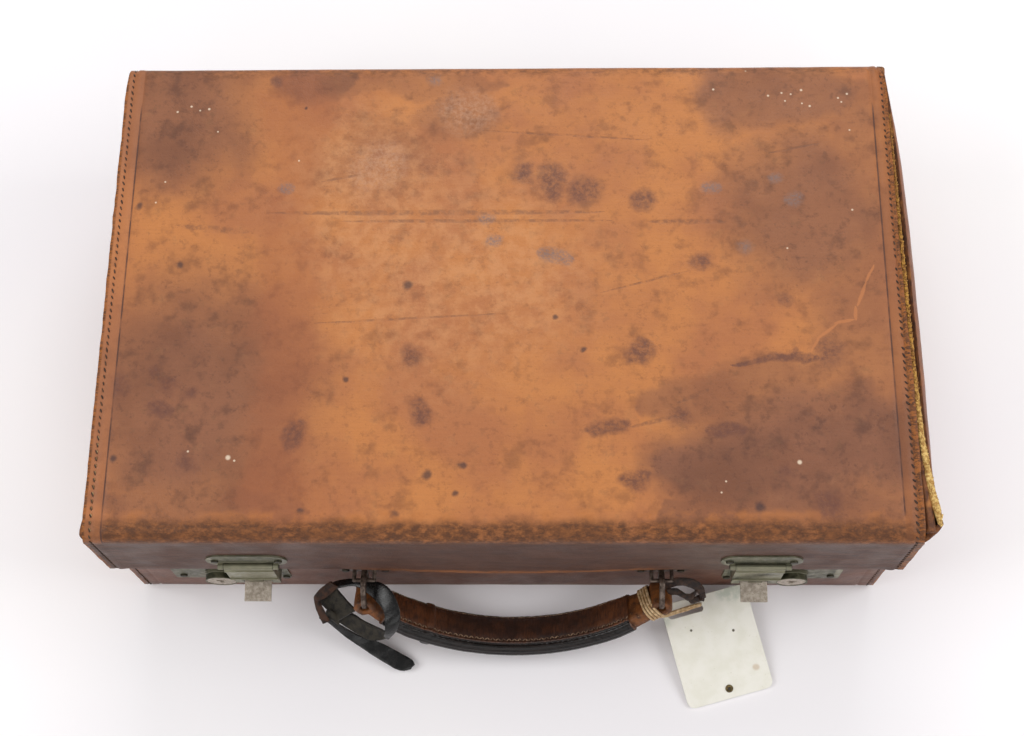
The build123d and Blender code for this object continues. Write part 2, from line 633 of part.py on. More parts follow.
def handle_sector(width, thickness, from_x, to_x, corner=0.0):
    """Part of the handle's arc between two distances from its middle."""
    a0 = math.degrees(math.asin(from_x / HANDLE_ARC))
    a1 = math.degrees(math.asin(to_x / HANDLE_ARC))
    section = RectangleRounded(thickness, width, corner) if corner else Rectangle(thickness, width)
    start = Plane((0, HANDLE_CENTRE, 0), x_dir=(0, 1, 0), z_dir=(1, 0, 0)) * (Pos(HANDLE_ARC, 0) * section)
    pivot = Axis((0, HANDLE_CENTRE, 0), (0, 0, -1))
    return revolve(start.rotate(pivot, a0), pivot, revolution_arc=a1 - a0)


def handle_core():
    reach = RING_SPACING / 2
    strap_end = reach - RING_BAR / 2 - 1.2
    core = handle_sector(CORE_WIDTH, CORE_THICKNESS, -GRIP_SPAN / 2 - 1, GRIP_SPAN / 2 + 1)
    for end in (-1, 1):
        ends = sorted((end * GRIP_SPAN / 2, end * strap_end))
        core += handle_sector(EAR_WIDTH, EAR_THICKNESS, ends[0], ends[1], 3.0)
        eye = Pos(end * reach, RING_END, 0) * Cylinder(EYE_RADIUS, EYE_LENGTH)
        tie = Box(EYE_RADIUS * 1.5, EYE_RADIUS * 1.4, EYE_LENGTH)
        tie = Pos(end * (reach - EYE_RADIUS * 0.75), RING_END + 0.6, 0) * tie
        core += eye + tie
    for end in (-1, 1):
        core -= Pos(end * reach, RING_END, 0) * Cylinder(EYE_BORE, EYE_LENGTH + 2)
    return handle_plane() * core


def handle_grip():
    half = GRIP_SPAN / 2
    grip = handle_sector(GRIP_WIDTH, GRIP_THICKNESS, -half, half, 5.5)
    grip -= handle_sector(CORE_WIDTH, CORE_THICKNESS, -half - 1, half + 1)
    return handle_plane() * grip


# Luggage strap: a band loop in a tilted plane through the left ring, with a loose tail
def ring_window(side):
    """Middle of the ring's free opening, between the staple bar and the handle's eye."""
    middle = Vector(side * RING_SPACING / 2, (RING_START + RING_END) / 2, 0)
    return handle_plane().from_local_coords(middle)


def strap_plane():
    across = Vector(1, 0, 0) - STRAP_TILT * STRAP_TILT.X
    return Plane(ring_window(-1), x_dir=across, z_dir=STRAP_TILT)


def ribbon(origin, stations, width, thickness):
    """A flat strap through stations (x, y, z, lean) from an origin, level except for the lean."""
    wires = []
    stations = [(x + origin.X, y + origin.Y, z + origin.Z, lean) for x, y, z, lean in stations]
    for i, (x, y, z, lean) in enumerate(stations):
        a = stations[max(i - 1, 0)]
        b = stations[min(i + 1, len(stations) - 1)]
        along = Vector(b[0] - a[0], b[1] - a[1], b[2] - a[2]).normalized()
        across = (Vector(along.Y, -along.X, 0).normalized() + Vector(0, 0, -lean)).normalized()
        up = across.cross(along).normalized()
        w = across * (width / 2)
        t = up * (thickness / 2)
        c = Vector(x, y, z)
        wires.append(Wire.make_polygon([c + w + t, c - w + t, c - w - t, c + w - t], close=True))
    return Solid.make_loft(wires, ruled=True)


def luggage_strap():
    path = FilletPolyline(*LOOP_POINTS, radius=LOOP_RADII)
    band = make_face(offset(path, amount=STRAP_THICKNESS / 2, side=Side.BOTH))
    loop = extrude(strap_plane() * band, amount=STRAP_WIDTH / 2, both=True)
    on_ground = Vector(ring_window(-1).X, ring_window(-1).Y, 0)
    return loop + ribbon(on_ground, TAIL_STATIONS, STRAP_WIDTH, STRAP_THICKNESS)


def strap_keeper():
    room = STRAP_WIDTH + 2 * RUNNING_GAP
    wall = 2 * KEEPER_WALL
    sleeve = Box(KEEPER_DEPTH + wall, KEEPER_LENGTH, room + wall) - Box(KEEPER_DEPTH, KEEPER_LENGTH + 2, room)
    return strap_plane() * (Pos(*KEEPER_PLACE) * Rot(0, 0, KEEPER_TURN) * sleeve)


# Swing tag and what ties it
def tag_plane():
    """The card's own plane: lower edge on the ground, upper edge raised to its tie."""
    foot_left = Vector(HANDLE_SHIFT + RING_SPACING / 2 + TAG_OUT, BASE_FRONT - TAG_FORWARD, TAG_SHEET)
    along = Vector(1, 0, 0).rotate(Axis.Z, TAG_TURN)
    up_slope = Vector(-along.Y, along.X, 0)
    rise = math.asin(TAG_RISE / TAG_LENGTH)
    y_dir = up_slope * math.cos(rise) + Vector(0, 0, math.sin(rise))
    centre = foot_left + along * (TAG_WIDTH / 2) + y_dir * (TAG_LENGTH / 2)
    return Plane(centre, x_dir=along, z_dir=along.cross(y_dir))


def tag_slot_y():
    return TAG_LENGTH / 2 - TAG_SLOT_INSET - TAG_SLOT_WIDTH / 2


def tag_card():
    card = RectangleRounded(TAG_WIDTH, TAG_LENGTH, TAG_CORNER)
    slot = Pos(TAG_SLOT_X, tag_slot_y()) * SlotOverall(TAG_SLOT_LENGTH, TAG_SLOT_WIDTH)
    hole = Pos(0, -TAG_LENGTH / 2 + TAG_HOLE_INSET) * Circle(TAG_HOLE)
    return tag_plane() * extrude(card - slot - hole, amount=TAG_SHEET / 2, both=True)


def tag_eyelet():
    over_card = TAG_SHEET + 2 * EYELET_LIP
    flange = Cylinder(EYELET_RADIUS, over_card) - Cylinder(EYELET_RADIUS + 1, TAG_SHEET)
    eyelet = flange + Cylinder(TAG_HOLE - FIT, over_card) - Cylinder(EYELET_BORE, over_card + 1)
    return tag_plane() * (Pos(0, -TAG_LENGTH / 2 + TAG_HOLE_INSET, 0) * eyelet)


def tag_thong():
    """Turns of thong round the handle's right end and the strand that holds the card."""
    turn = Plane((0, HANDLE_CENTRE, 0), x_dir=(0, 1, 0), z_dir=(1, 0, 0))
    inner_x, inner_y = EAR_THICKNESS + 2 * RUNNING_GAP, EAR_WIDTH + 2 * RUNNING_GAP
    loop = RectangleRounded(inner_x + 2 * THONG, inner_y + 2 * THONG, 4.5)
    loop -= RectangleRounded(inner_x, inner_y, 3.0)
    loop = extrude(turn * (Pos(HANDLE_ARC, 0) * loop), amount=THONG_TURNS / 2, both=True)
    along = RING_SPACING / 2 - THONG_PLACE
    angle = math.degrees(math.asin(along / HANDLE_ARC))
    turns = handle_plane() * loop.rotate(Axis((0, HANDLE_CENTRE, 0), (0, 0, -1)), angle)
    outer_side = RING_END + HANDLE_SAG - HANDLE_ARC + math.sqrt(HANDLE_ARC ** 2 - along ** 2)
    start = Vector(along, outer_side + EAR_THICKNESS / 2 + RUNNING_GAP + THONG * 1.6, 0)
    start = handle_plane().from_local_coords(start)
    slot_end = TAG_SLOT_X + TAG_SLOT_LENGTH / 2 - TAG_SLOT_WIDTH / 2
    above = tag_plane().from_local_coords(Vector(slot_end, tag_slot_y() - 0.8, THONG * 1.4))
    below = tag_plane().from_local_coords(Vector(slot_end, tag_slot_y() - 0.8, -THONG * 1.6))
    bend = tag_plane().from_local_coords(Vector(slot_end - 20.0, tag_slot_y() - 1.2, THONG * 1.9))
    path = FilletPolyline(start, bend, above, below, radius=[4.0, 1.6])
    strand = sweep(Plane(path @ 0, z_dir=path % 0) * Circle(THONG / 2), path=path)
    return turns + strand


def torn_strap():
    """Remains of an older label strap, curled through the right ring."""
    return ribbon(ring_window(1), TORN_STATIONS, TORN_WIDTH, TORN_THICKNESS)



# Every sub-part, in place
def build():
    parts = {}
    parts["lid_hide"] = lid_hide()
    parts["lid_end_left"] = lid_end_left()
    parts["lid_end_right"] = lid_end_right()
    parts["lid_board"] = board(LID_INNER_X - 0.2, LID_INNER_Y - LID_ROLL + HIDE,
                               CASE_HEIGHT - HIDE - BOARD, CASE_HEIGHT - HIDE)
    parts["lid_lining"] = lid_lining()
    parts["base_hide"] = base_hide()
    for side, name in ((-1, "left"), (1, "right")):
        x0, x1 = sorted((side * BASE_X, side * (BASE_X - HIDE)))
        parts[f"base_end_{name}"] = end_profile(x0, x1, BASE_Y - HIDE, HIDE, BASE_RIM,
                                                BASE_ROLL - HIDE, False)
    parts["base_board"] = board(BASE_X - HIDE - 0.2, BASE_Y - BASE_ROLL, HIDE, HIDE + BOARD)
    parts["base_lining"] = base_lining()
    lock_pieces = {"lid_plate": lid_plate(), "hasp": hasp(), "hasp_pin": hasp_pin(),
                   "lock_plate": lock_plate(), "key_collar": key_collar(), "key_plug": key_plug(),
                   "lock_bolt": bolt_shape(), "lock_case": lock_case(), "thumb_lever": thumb_lever(),
                   "lever_pin": lever_pin(), "lever_spring": lever_spring()}
    for side, name in ((-1, "left"), (1, "right")):
        for piece, shape in lock_pieces.items():
            parts[f"{piece}_{name}"] = place_lock(shape, side)
        parts[f"lock_rivets_{name}"] = Compound(rivets(lock_rivet_places(side), PLATE_FACE, 1, PLATE + HIDE))
        x = side * HINGE_SPACING / 2
        parts[f"hinge_lid_leaf_{name}"] = Pos(x, 0, 0) * hinge_lid_leaf()
        parts[f"hinge_base_leaf_{name}"] = Pos(x, 0, 0) * hinge_base_leaf()
        parts[f"hinge_pin_{name}"] = Pos(x, 0, 0) * hinge_pin()
        parts[f"handle_staple_{name}"] = staple(side)
        parts[f"handle_ring_{name}"] = handle_plane() * (Pos(side * RING_SPACING / 2, 0, 0) * ring())
    lid_places = lid_plate_rivet_places(-1) + lid_plate_rivet_places(1)
    parts["lid_plate_rivets"] = Compound(rivets(lid_places, LID_FRONT - PLATE, 1, PLATE + HIDE))
    staple_places = staple_rivet_places(-1) + staple_rivet_places(1)
    parts["staple_rivets"] = Compound(rivets(staple_places, PLATE_FACE, 1, PLATE + HIDE))
    lid_hinge = hinge_rivet_places(-1, LID_HINGE_RIVET_Z) + hinge_rivet_places(1, LID_HINGE_RIVET_Z)
    parts["hinge_lid_rivets"] = Compound(rivets(lid_hinge, CASE_DEPTH / 2 + HINGE_SHEET, -1, HINGE_SHEET + HIDE))
    base_hinge = hinge_rivet_places(-1, BASE_HINGE_RIVET_Z) + hinge_rivet_places(1, BASE_HINGE_RIVET_Z)
    parts["hinge_base_rivets"] = Compound(rivets(base_hinge, BASE_Y + HINGE_SHEET, -1, HINGE_SHEET + HIDE))
    parts["lid_welt_right"] = lid_welt_right()
    parts["handle_core"] = handle_core()
    parts["handle_grip"] = handle_grip()
    parts["luggage_strap"] = luggage_strap()
    parts["strap_keeper"] = strap_keeper()
    parts["tag_card"] = tag_card()
    parts["tag_eyelet"] = tag_eyelet()
    parts["tag_thong"] = tag_thong()
    parts["torn_strap"] = torn_strap()
    return parts


for node, shape in build().items():
    save(shape, node)
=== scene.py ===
import json
import math
import random

import bmesh
import bpy
import numpy as np
from mathutils import Matrix, Vector, noise


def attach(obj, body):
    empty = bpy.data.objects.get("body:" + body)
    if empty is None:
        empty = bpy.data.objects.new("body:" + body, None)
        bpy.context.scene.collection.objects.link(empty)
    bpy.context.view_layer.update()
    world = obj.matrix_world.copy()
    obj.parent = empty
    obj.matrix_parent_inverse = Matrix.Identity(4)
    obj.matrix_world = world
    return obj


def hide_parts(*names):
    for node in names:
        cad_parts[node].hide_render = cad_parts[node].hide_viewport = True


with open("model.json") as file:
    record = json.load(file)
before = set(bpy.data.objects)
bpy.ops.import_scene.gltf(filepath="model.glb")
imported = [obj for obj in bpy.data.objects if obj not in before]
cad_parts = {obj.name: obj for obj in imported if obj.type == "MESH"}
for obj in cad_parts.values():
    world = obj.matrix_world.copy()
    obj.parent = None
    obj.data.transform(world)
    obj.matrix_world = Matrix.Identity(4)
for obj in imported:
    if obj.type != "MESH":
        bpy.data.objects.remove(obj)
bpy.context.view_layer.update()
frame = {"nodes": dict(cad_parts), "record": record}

# Camera: a tripod camera of about 58 mm, a metre above the case's front edge and looking down on the lid.
# Its three directions are the ones at which the lid's edges fall as in the photograph.
camera = bpy.data.objects.new("camera", bpy.data.cameras.new("camera"))
camera.data.lens = 58.008
camera.data.sensor_width = 36.0
camera_right = Vector((0.99973662, 0.00674453, -0.02193638))
camera_up = Vector((0.00143565, 0.93559034, 0.35308449))
camera_back = Vector((0.02290486, -0.35302299, 0.93533424))
camera.matrix_world = Matrix.Translation((0.02931, -0.41648, 1.10769)) @ Matrix(
    (camera_right, camera_up, camera_back)).transposed().to_4x4()
bpy.context.scene.collection.objects.link(camera)
bpy.context.scene.camera = camera
bpy.context.scene.view_settings.view_transform = "Standard"


# Studio: a pale paper ground, two broad soft lamps at the sides and a large one overhead.
# The paper is lit like the case, so the case keeps its soft shadow on it.
MM = 0.001


def srgb(red, green, blue):
    """A colour as seen on screen, turned into the linear values that the shaders take."""
    return tuple(((c / 255 + 0.055) / 1.055) ** 2.4 for c in (red, green, blue)) + (1.0,)


class Finish:
    """The node tree of one material; each method adds a node and returns what it puts out."""

    def __init__(self, tree):
        self.tree = tree
        self.place = None

    def put(self, kind, values=(), **settings):
        made = self.tree.nodes.new("ShaderNode" + kind)
        for name, value in settings.items():
            setattr(made, name, value)
        for key, value in dict(values).items():
            if isinstance(value, bpy.types.NodeSocket):
                self.tree.links.new(value, made.inputs[key])
            else:
                made.inputs[key].default_value = value
        return made

    def sums(self, way, first, second=0.0):
        return self.put("Math", {0: first, 1: second}, operation=way).outputs[0]

    def both(self, first, second):
        return self.sums("MULTIPLY", first, second)

    def tint(self, share, under, over, way="MIX"):
        return self.put("Mix", {0: share, 6: under, 7: over}, data_type="RGBA", blend_type=way).outputs[2]

    def step(self, value, low, high, start=0.0, end=1.0):
        """A smooth change from start to end while the value goes from low to high."""
        return self.put("MapRange", {0: value, 1: low, 2: high, 3: start, 4: end},
                        interpolation_type="SMOOTHSTEP").outputs[0]

    def clouds(self, size, detail=3.0, rough=0.55, place=None):
        """Soft noise whose patches are about size millimetres across."""
        return self.put("TexNoise", {"Vector": place or self.place, "Scale": 1 / (size * MM),
                                     "Detail": detail, "Roughness": rough}).outputs[0]

    def cells(self, size, feature="F1", place=None):
        """Distance pattern of cells that are about size millimetres across."""
        return self.put("TexVoronoi", {"Vector": place or self.place, "Scale": 1 / (size * MM)},
                        feature=feature).outputs["Distance"]

    def moved(self, centre=(0, 0, 0), turn=(0, 0, 0), scale=(1, 1, 1), place=None):
        return self.put("Mapping", {"Vector": place or self.place, "Location": centre, "Rotation": turn,
                                    "Scale": scale}, vector_type="TEXTURE").outputs[0]

    def spot(self, x, y, width, depth, turn=0.0, soft=0.5, place=None):
        """A round or long mark seen from above, with its centre and half sizes in millimetres."""
        if depth > width:
            width, depth, turn = depth, width, turn + 90
        reach = math.sqrt(width ** 2 - depth ** 2)
        aside = Vector((reach * math.cos(math.radians(turn)), reach * math.sin(math.radians(turn)), 0))
        ways = [self.put("VectorMath", {0: place or self.flat,
                                        1: tuple((Vector((x, y, 0)) + aside * k) * MM)},
                                        operation="DISTANCE").outputs["Value"] for k in (-1, 1)]
        outer, inner = (2 * MM * math.hypot(depth * k, reach) for k in (1 + soft, 1 - soft))
        return self.step(self.sums("ADD", *ways), outer, inner)

    def most(self, masks):
        total = masks[0]
        for mask in masks[1:]:
            total = self.sums("MAXIMUM", total, mask)
        return total


def new_finish(name):
    """A new material with its Finish, its shader and Object coordinates as the place."""
    material = bpy.data.materials.new(name)
    material.use_nodes = True
    finish = Finish(material.node_tree)
    finish.place = finish.put("TexCoord").outputs["Object"]
    finish.shader = material.node_tree.nodes["Principled BSDF"]
    return material, finish


def connect(finish, colour=None, roughness=None, height=None, depth=0.3, metallic=None, **constants):
    """Joins a finish to its shader; height is a relief of depth millimetres."""
    for name, value in (("Base Color", colour), ("Roughness", roughness), ("Metallic", metallic)):
        if isinstance(value, bpy.types.NodeSocket):
            finish.tree.links.new(value, finish.shader.inputs[name])
        elif value is not None:
            finish.shader.inputs[name].default_value = value
    for name, value in constants.items():
        finish.shader.inputs[name.replace("_", " ")].default_value = value
    if height is not None:
        bump = finish.put("Bump", {"Height": height, "Distance": depth * MM, "Strength": 1.0})
        finish.tree.links.new(bump.outputs[0], finish.shader.inputs["Normal"])


paper, look = new_finish("ground_paper")
soft_patch = look.step(look.clouds(420, 2), 0.35, 0.65)
connect(look, look.tint(soft_patch, srgb(253, 250, 251), srgb(249, 246, 249)), 0.85)
ground_mesh = bpy.data.meshes.new("ground")
ground_mesh.from_pydata([(-6, -5, 0), (6, -5, 0), (6, 7, 0), (-6, 7, 0)], [], [(0, 1, 2, 3)])
ground_mesh.materials.append(paper)
ground = bpy.data.objects.new("ground", ground_mesh)
bpy.context.scene.collection.objects.link(ground)
ground.location.z = -0.0002

world = bpy.data.worlds.new("studio")
world.use_nodes = True
world.node_tree.nodes["Background"].inputs[0].default_value = (1.0, 0.99, 0.98, 1)
world.node_tree.nodes["Background"].inputs[1].default_value = 0.42
bpy.context.scene.world = world
LAMPS = [
    ("left_lamp", (-1.25, -0.25, 1.25), (0.0, 0.0, 0.05), 1.0, 11.0),
    ("right_lamp", (1.3, -0.1, 1.2), (0.0, 0.0, 0.05), 1.0, 11.0),
    ("back_lamp", (0.1, 1.35, 1.35), (0.0, 0.0, 0.05), 1.3, 12.0),
    ("front_lamp", (0.1, -1.5, 1.0), (0.0, -0.1, 0.05), 1.2, 5.0),
]
for name, where, aim, size, power in LAMPS:
    lamp = bpy.data.objects.new(name, bpy.data.lights.new(name, "AREA"))
    lamp.data.size = size
    lamp.data.energy = power
    lamp.location = where
    lamp.rotation_euler = (Vector(where) - Vector(aim)).to_track_quat("Z", "Y").to_euler()
    bpy.context.scene.collection.objects.link(lamp)


# Lid hide: one thick piece of brown hide bent over the front, the top and the back of the lid.
# Its raw ends lie over the end panels, with a tooled crease beside each row of stitches.
LID_HALF_LENGTH, LID_HALF_DEPTH, LID_EDGE, CASE_TOP, LID_ROLL = 254.0, 164.0, 74.0, 146.0, 8.0
HIDE_THICKNESS = 3.6
CREASE_INSET, STITCH_INSET = 11.6, 4.6
STITCH_PITCH = 4.5


def uneven(x, y, size, seed=0.0):
    """Smooth chance height from -1 to 1 whose hills are about size apart."""
    return noise.noise(Vector((x / size, y / size, seed)))


def ease(value, low, high):
    """0 before low, 1 after high and a smooth change between them."""
    t = max(0.0, min(1.0, (value - low) / (high - low)))
    return t * t * (3 - 2 * t)


def groove(distance, half_width):
    """Depth share of a rounded groove at a distance from its middle."""
    return max(0.0, 1 - (distance / half_width) ** 2) ** 1.5


def stations(low, high, pitch, fine=()):
    """Evenly spaced numbers with extra ones where a finer form needs them."""
    values = set(np.round(np.linspace(low, high, int((high - low) / pitch) + 1), 2).tolist())
    return sorted(values | {round(v, 2) for v in fine if low < v < high})


def make_mesh(name, points, faces, smooth=True):
    mesh = bpy.data.meshes.new(name)
    mesh.from_pydata([tuple(c * MM for c in p) for p in points], [], faces)
    mesh.update()
    if smooth:
        mesh.shade_smooth()
    piece = bpy.data.objects.new(name, mesh)
    bpy.context.scene.collection.objects.link(piece)
    return piece


def quads(rows, columns, round_column=False, round_row=False):
    """Faces of a grid of points stored row by row; a round direction joins its last points to its first."""
    faces = []
    for i in range(rows - (0 if round_row else 1)):
        for j in range(columns - (0 if round_column else 1)):
            a, b = i * columns + j, i * columns + (j + 1) % columns
            c, d = (i + 1) % rows * columns + (j + 1) % columns, (i + 1) % rows * columns + j
            faces.append((a, b, c, d))
    return faces


def bent_hide(name, half_depth, low, high, roll, shape, x_stations, flip=False):
    """The outer skin of a hide bent round three faces; shape moves a point (x, y, z) along its normal."""
    front = [(-half_depth, z, -1.0, 0.0) for z in stations(low, high - roll, 4.0)]
    bend = []
    for k in range(1, 8):
        a = math.pi - k * math.pi / 16
        bend.append((-half_depth + roll + roll * math.cos(a), high - roll + roll * math.sin(a),
                     math.cos(a), math.sin(a)))
    flat = [(y, high, 0.0, 1.0) for y in stations(-half_depth + roll, half_depth - roll, 4.0)]
    side = front + bend
    profile = side + flat + [(-y, z, -ny, nz) for y, z, ny, nz in reversed(side)]
    if flip:
        profile = [(y, low + high - z, ny, -nz) for y, z, ny, nz in profile]
    points = []
    for x0 in x_stations:
        for y0, z0, ny, nz in profile:
            x, rise = shape(x0, y0, z0, ny, nz)
            points.append((x, y0 + ny * rise, z0 + nz * rise))
    faces = quads(len(x_stations), len(profile))
    if not flip:
        faces = [tuple(reversed(f)) for f in faces]
    return make_mesh(name, points, faces)


def lid_shape(x, y, z, ny, nz):
    """Grooves, hollows and bulges of the lid hide, and its uneven raw ends."""
    end = LID_HALF_LENGTH - abs(x)
    rise = 0.6 * uneven(x, y + z, 85) * min(1, end / 25) * nz + 0.12 * uneven(x, y + z, 19, 3.1)
    runs = x < 0 or y > -150
    if end < 30 and runs and nz > 0.6:
        rise -= 0.5 * groove(end - CREASE_INSET - 0.3 * uneven(y, z, 40, 5), 1.5)
    rise -= 0.4 * groove(end - STITCH_INSET, 1.8)
    rise += 0.5 * groove(end - 8.0, 3.4) * 0.6
    if x > 0 and end < 4:
        whole = max(0.0, nz) ** 3 * ease(abs(y), 162, 150)
        rise += whole * (0.8 * groove(end - 1.6,
                                      2.6) + 0.35 * uneven(y, end * 0.4, 1.6, 27) * groove(end - 1.6, 2.4))
    if ny < -0.9:
        low = (LID_EDGE + 64 - z) / 64
        middle = max(0.0, 1 - (x / 122) ** 2) ** 2
        rise += 2.7 * middle * max(0.0, low) ** 1.3 + 0.25 * uneven(x, z, 9, 8) * low
    if end < 0.01:
        x += math.copysign(1, x) * (0.45 * uneven(y, z, 11, 9) + 0.3 * uneven(y, z, 4, 2))
    if end < 16:
        rounding = (4.2 if x > 0 else 2.4) if y > 0 else 0.7
        corner = max(0.0, (abs(y) - 146) / 18) ** 2 * max(0.0, nz)
        drawn_in = rounding * corner * ease(end, 16, 0)
        if x > 0:
            drawn_in += 1.7 * ease(y, -70, 30) * max(0.0, nz) * ease(end, 7, 0)
        x -= math.copysign(1, x) * drawn_in
    return x, rise


fine_ends = [e for d in (0.8, 2, 3, 3.8, 4.6, 5.4, 6.4, 8, 9.4, 10.4, 11, 11.6, 12.2, 12.8, 14, 16, 19)
             for e in (LID_HALF_LENGTH - d, d - LID_HALF_LENGTH)]
lid_skin = bent_hide("lid_hide_leather", LID_HALF_DEPTH, LID_EDGE, CASE_TOP, LID_ROLL, lid_shape,
                     stations(-LID_HALF_LENGTH, LID_HALF_LENGTH, 4.0, fine_ends))


def thicken(piece, thickness=HIDE_THICKNESS, soften=0.7):
    """Gives a skin its thickness inwards, with a raw cut edge in the second material and a worn arris."""
    wall = piece.modifiers.new("thickness", "SOLIDIFY")
    wall.thickness = thickness * MM
    wall.offset = -1
    wall.material_offset_rim = 1
    arris = piece.modifiers.new("arris", "BEVEL")
    arris.width = soften * MM
    arris.segments = 2
    arris.limit_method = "ANGLE"
    arris.angle_limit = math.radians(50)
    return piece


def new_group(name, inputs):
    """A shader node group with named inputs; returns the tree, its Finish and its input node."""
    tree = bpy.data.node_groups.new(name, "ShaderNodeTree")
    for label, kind, value in inputs:
        socket = tree.interface.new_socket(label, in_out="INPUT", socket_type="NodeSocket" + kind)
        if kind != "Vector":
            socket.default_value = value
    group = Finish(tree)
    given = tree.nodes.new("NodeGroupInput")
    group.place = given.outputs[0]
    return tree, group, given


def close_group(group, outputs):
    out = group.tree.nodes.new("NodeGroupOutput")
    for label, kind, value in outputs:
        group.tree.interface.new_socket(label, in_out="OUTPUT", socket_type="NodeSocket" + kind)
        group.tree.links.new(value, out.inputs[label])


def use_group(finish, tree, **values):
    values = {key.replace("_", " "): value for key, value in values.items()}
    made = finish.tree.nodes.new("ShaderNodeGroup")
    made.node_tree = tree
    for key, value in values.items():
        if isinstance(value, bpy.types.NodeSocket):
            finish.tree.links.new(value, made.inputs[key])
        else:
            made.inputs[key].default_value = value
    if "Place" not in values:
        finish.tree.links.new(finish.place, made.inputs["Place"])
    return made.outputs


# the grain of old hide: fine pores, a network of creases and shallow hollows
leather_grain, g, given = new_group("leather_grain", [("Place", "Vector", None), ("Pores", "Float", 1.0),
                                             ("Cracks", "Float", 0.4)])
pores = g.cells(1.1)
fine = g.clouds(0.7, 2)
wavering = g.put("TexNoise", {"Vector": g.place, "Scale": 260.0}).outputs[1]
wavering = g.put("MixRGB", {0: 0.004, 1: g.place, 2: wavering}).outputs[0]
network = g.step(g.cells(3.4, "DISTANCE_TO_EDGE", wavering), 0.0, 0.16)
hollows = g.clouds(9, 3)
small_relief = g.sums("ADD", g.both(pores, 0.35), g.both(fine, 0.4))
broad_relief = g.sums("ADD", g.both(hollows, 0.55), g.both(network, given.outputs["Cracks"]))
relief = g.sums("ADD", g.both(small_relief, given.outputs["Pores"]), broad_relief)
close_group(g, [("Height", "Float", relief), ("Network", "Float", network)])

# broad fading and handling stains that every brown hide of the case shares
hide_mottle, g, given = new_group("hide_mottle",
                                  [("Place", "Vector", None), ("Fresh", "Color", srgb(176, 106, 58)),
                                   ("Faded", "Color", srgb(150, 98, 70)),
                                   ("Dark", "Color", srgb(92, 54, 38)), ("Dirt", "Float", 0.5)])
broad = g.step(g.clouds(75, 4, 0.6), 0.36, 0.64)
blotch = g.step(g.clouds(14, 4, 0.6), 0.5, 0.72)
speck = g.step(g.clouds(3.2, 3, 0.65), 0.60, 0.74)
colour = g.tint(broad, given.outputs["Fresh"], given.outputs["Faded"])
colour = g.tint(g.both(blotch, g.both(given.outputs["Dirt"], 0.75)), colour, given.outputs["Dark"])
colour = g.tint(g.both(speck, g.both(given.outputs["Dirt"], 0.55)), colour, given.outputs["Dark"])
small = g.step(g.clouds(6, 5, 0.68), 0.53, 0.68)
colour = g.tint(g.both(small, g.both(given.outputs["Dirt"], 0.55)), colour, given.outputs["Dark"])
light = g.step(g.clouds(12, 5, 0.65), 0.55, 0.72)
colour = g.tint(g.both(light, 0.5), colour, srgb(92, 62, 36), "SCREEN")
grit = g.step(g.clouds(1.3, 4, 0.7), 0.58, 0.74)
colour = g.tint(g.both(grit, g.both(given.outputs["Dirt"], 0.5)), colour, given.outputs["Dark"])
streak = g.step(g.clouds(1, 2, 0.5, g.moved(scale=(26, 1.0, 1.0))), 0.40, 0.66)
colour = g.tint(g.both(streak, 0.05), colour, given.outputs["Dark"])
close_group(g, [("Color", "Color", colour), ("Blotch", "Float", blotch)])

lid_leather, look = new_finish("lid_leather")
look.flat = look.put("VectorMath", {0: look.place, 1: (1, 1, 0)}, operation="MULTIPLY").outputs[0]


def wandering(finish, size, reach, detail=4.0, rough=0.55):
    """The flat place pushed about by noise, so that marks laid on it get ragged outlines."""
    push = finish.put("TexNoise", {"Vector": finish.place, "Scale": 1 / (size * MM), "Detail": detail,
                                   "Roughness": rough}).outputs[1]
    push = finish.put("VectorMath", {0: push, 1: (0.5, 0.5, 0.5)}, operation="SUBTRACT").outputs[0]
    push = finish.put("VectorMath", {0: push, 1: (2 * reach * MM, 2 * reach * MM, 0.0)},
                      operation="MULTIPLY").outputs[0]
    return finish.put("VectorMath", {0: finish.flat, 1: push}, operation="ADD").outputs[0]


frayed = wandering(look, 20, 8, 5, 0.6)
fine_frayed = wandering(look, 7, 2.2)
drifted = wandering(look, 42, 24, 4)
position = look.put("SeparateXYZ", {0: look.place}).outputs
base = use_group(look, hide_mottle, Fresh=srgb(190, 122, 68), Faded=srgb(170, 106, 66),
                 Dark=srgb(104, 62, 42), Dirt=0.55)["Color"]
# zones worn or faded by handling: centre x, y and half sizes in millimetres, turn, strength
GREY_BROWN_ZONES = [(-215, 128, 44, 52, 0, 0.9), (-130, 153, 32, 10, 0, 0.8), (196, 55, 44, 52, 0, 0.85),
                    (178, 138, 52, 24, 0, 0.8), (182, -108, 92, 36, 8, 1.0), (-196, -76, 66, 74, 0, 0.95),
                    (150, -66, 70, 12, 12, 0.6), (-60, 148, 60, 8, 0, 0.4), (232, 100, 18, 50, 0, 0.5),
                    (-188, -140, 70, 14, 0, 0.75), (178, -143, 84, 12, 0, 0.75),
                    (-92, 92, 34, 26, 20, 0.45), (-32, 126, 26, 14, 0, 0.45), (228, -20, 26, 80, 0, 0.5)]
zones = [look.both(look.spot(x, y, w, d, turn, 0.75, drifted), power)
         for x, y, w, d, turn, power in GREY_BROWN_ZONES]
grey_brown = look.most(zones)
colour = look.tint(grey_brown, base, use_group(look, hide_mottle, Fresh=srgb(136, 88, 64),
                                               Faded=srgb(118, 75, 54), Dark=srgb(82, 52, 42),
                                               Dirt=0.8)["Color"])
pale_haze = look.most([look.spot(-92, 62, 44, 60, 20, 0.95, drifted),
                       look.spot(-30, 10, 70, 60, 0, 0.95, drifted)])
colour = look.tint(look.both(pale_haze, look.step(look.clouds(8, 5, 0.65), 0.36, 0.66, 0.05, 0.5)), colour,
                   srgb(206, 146, 98))
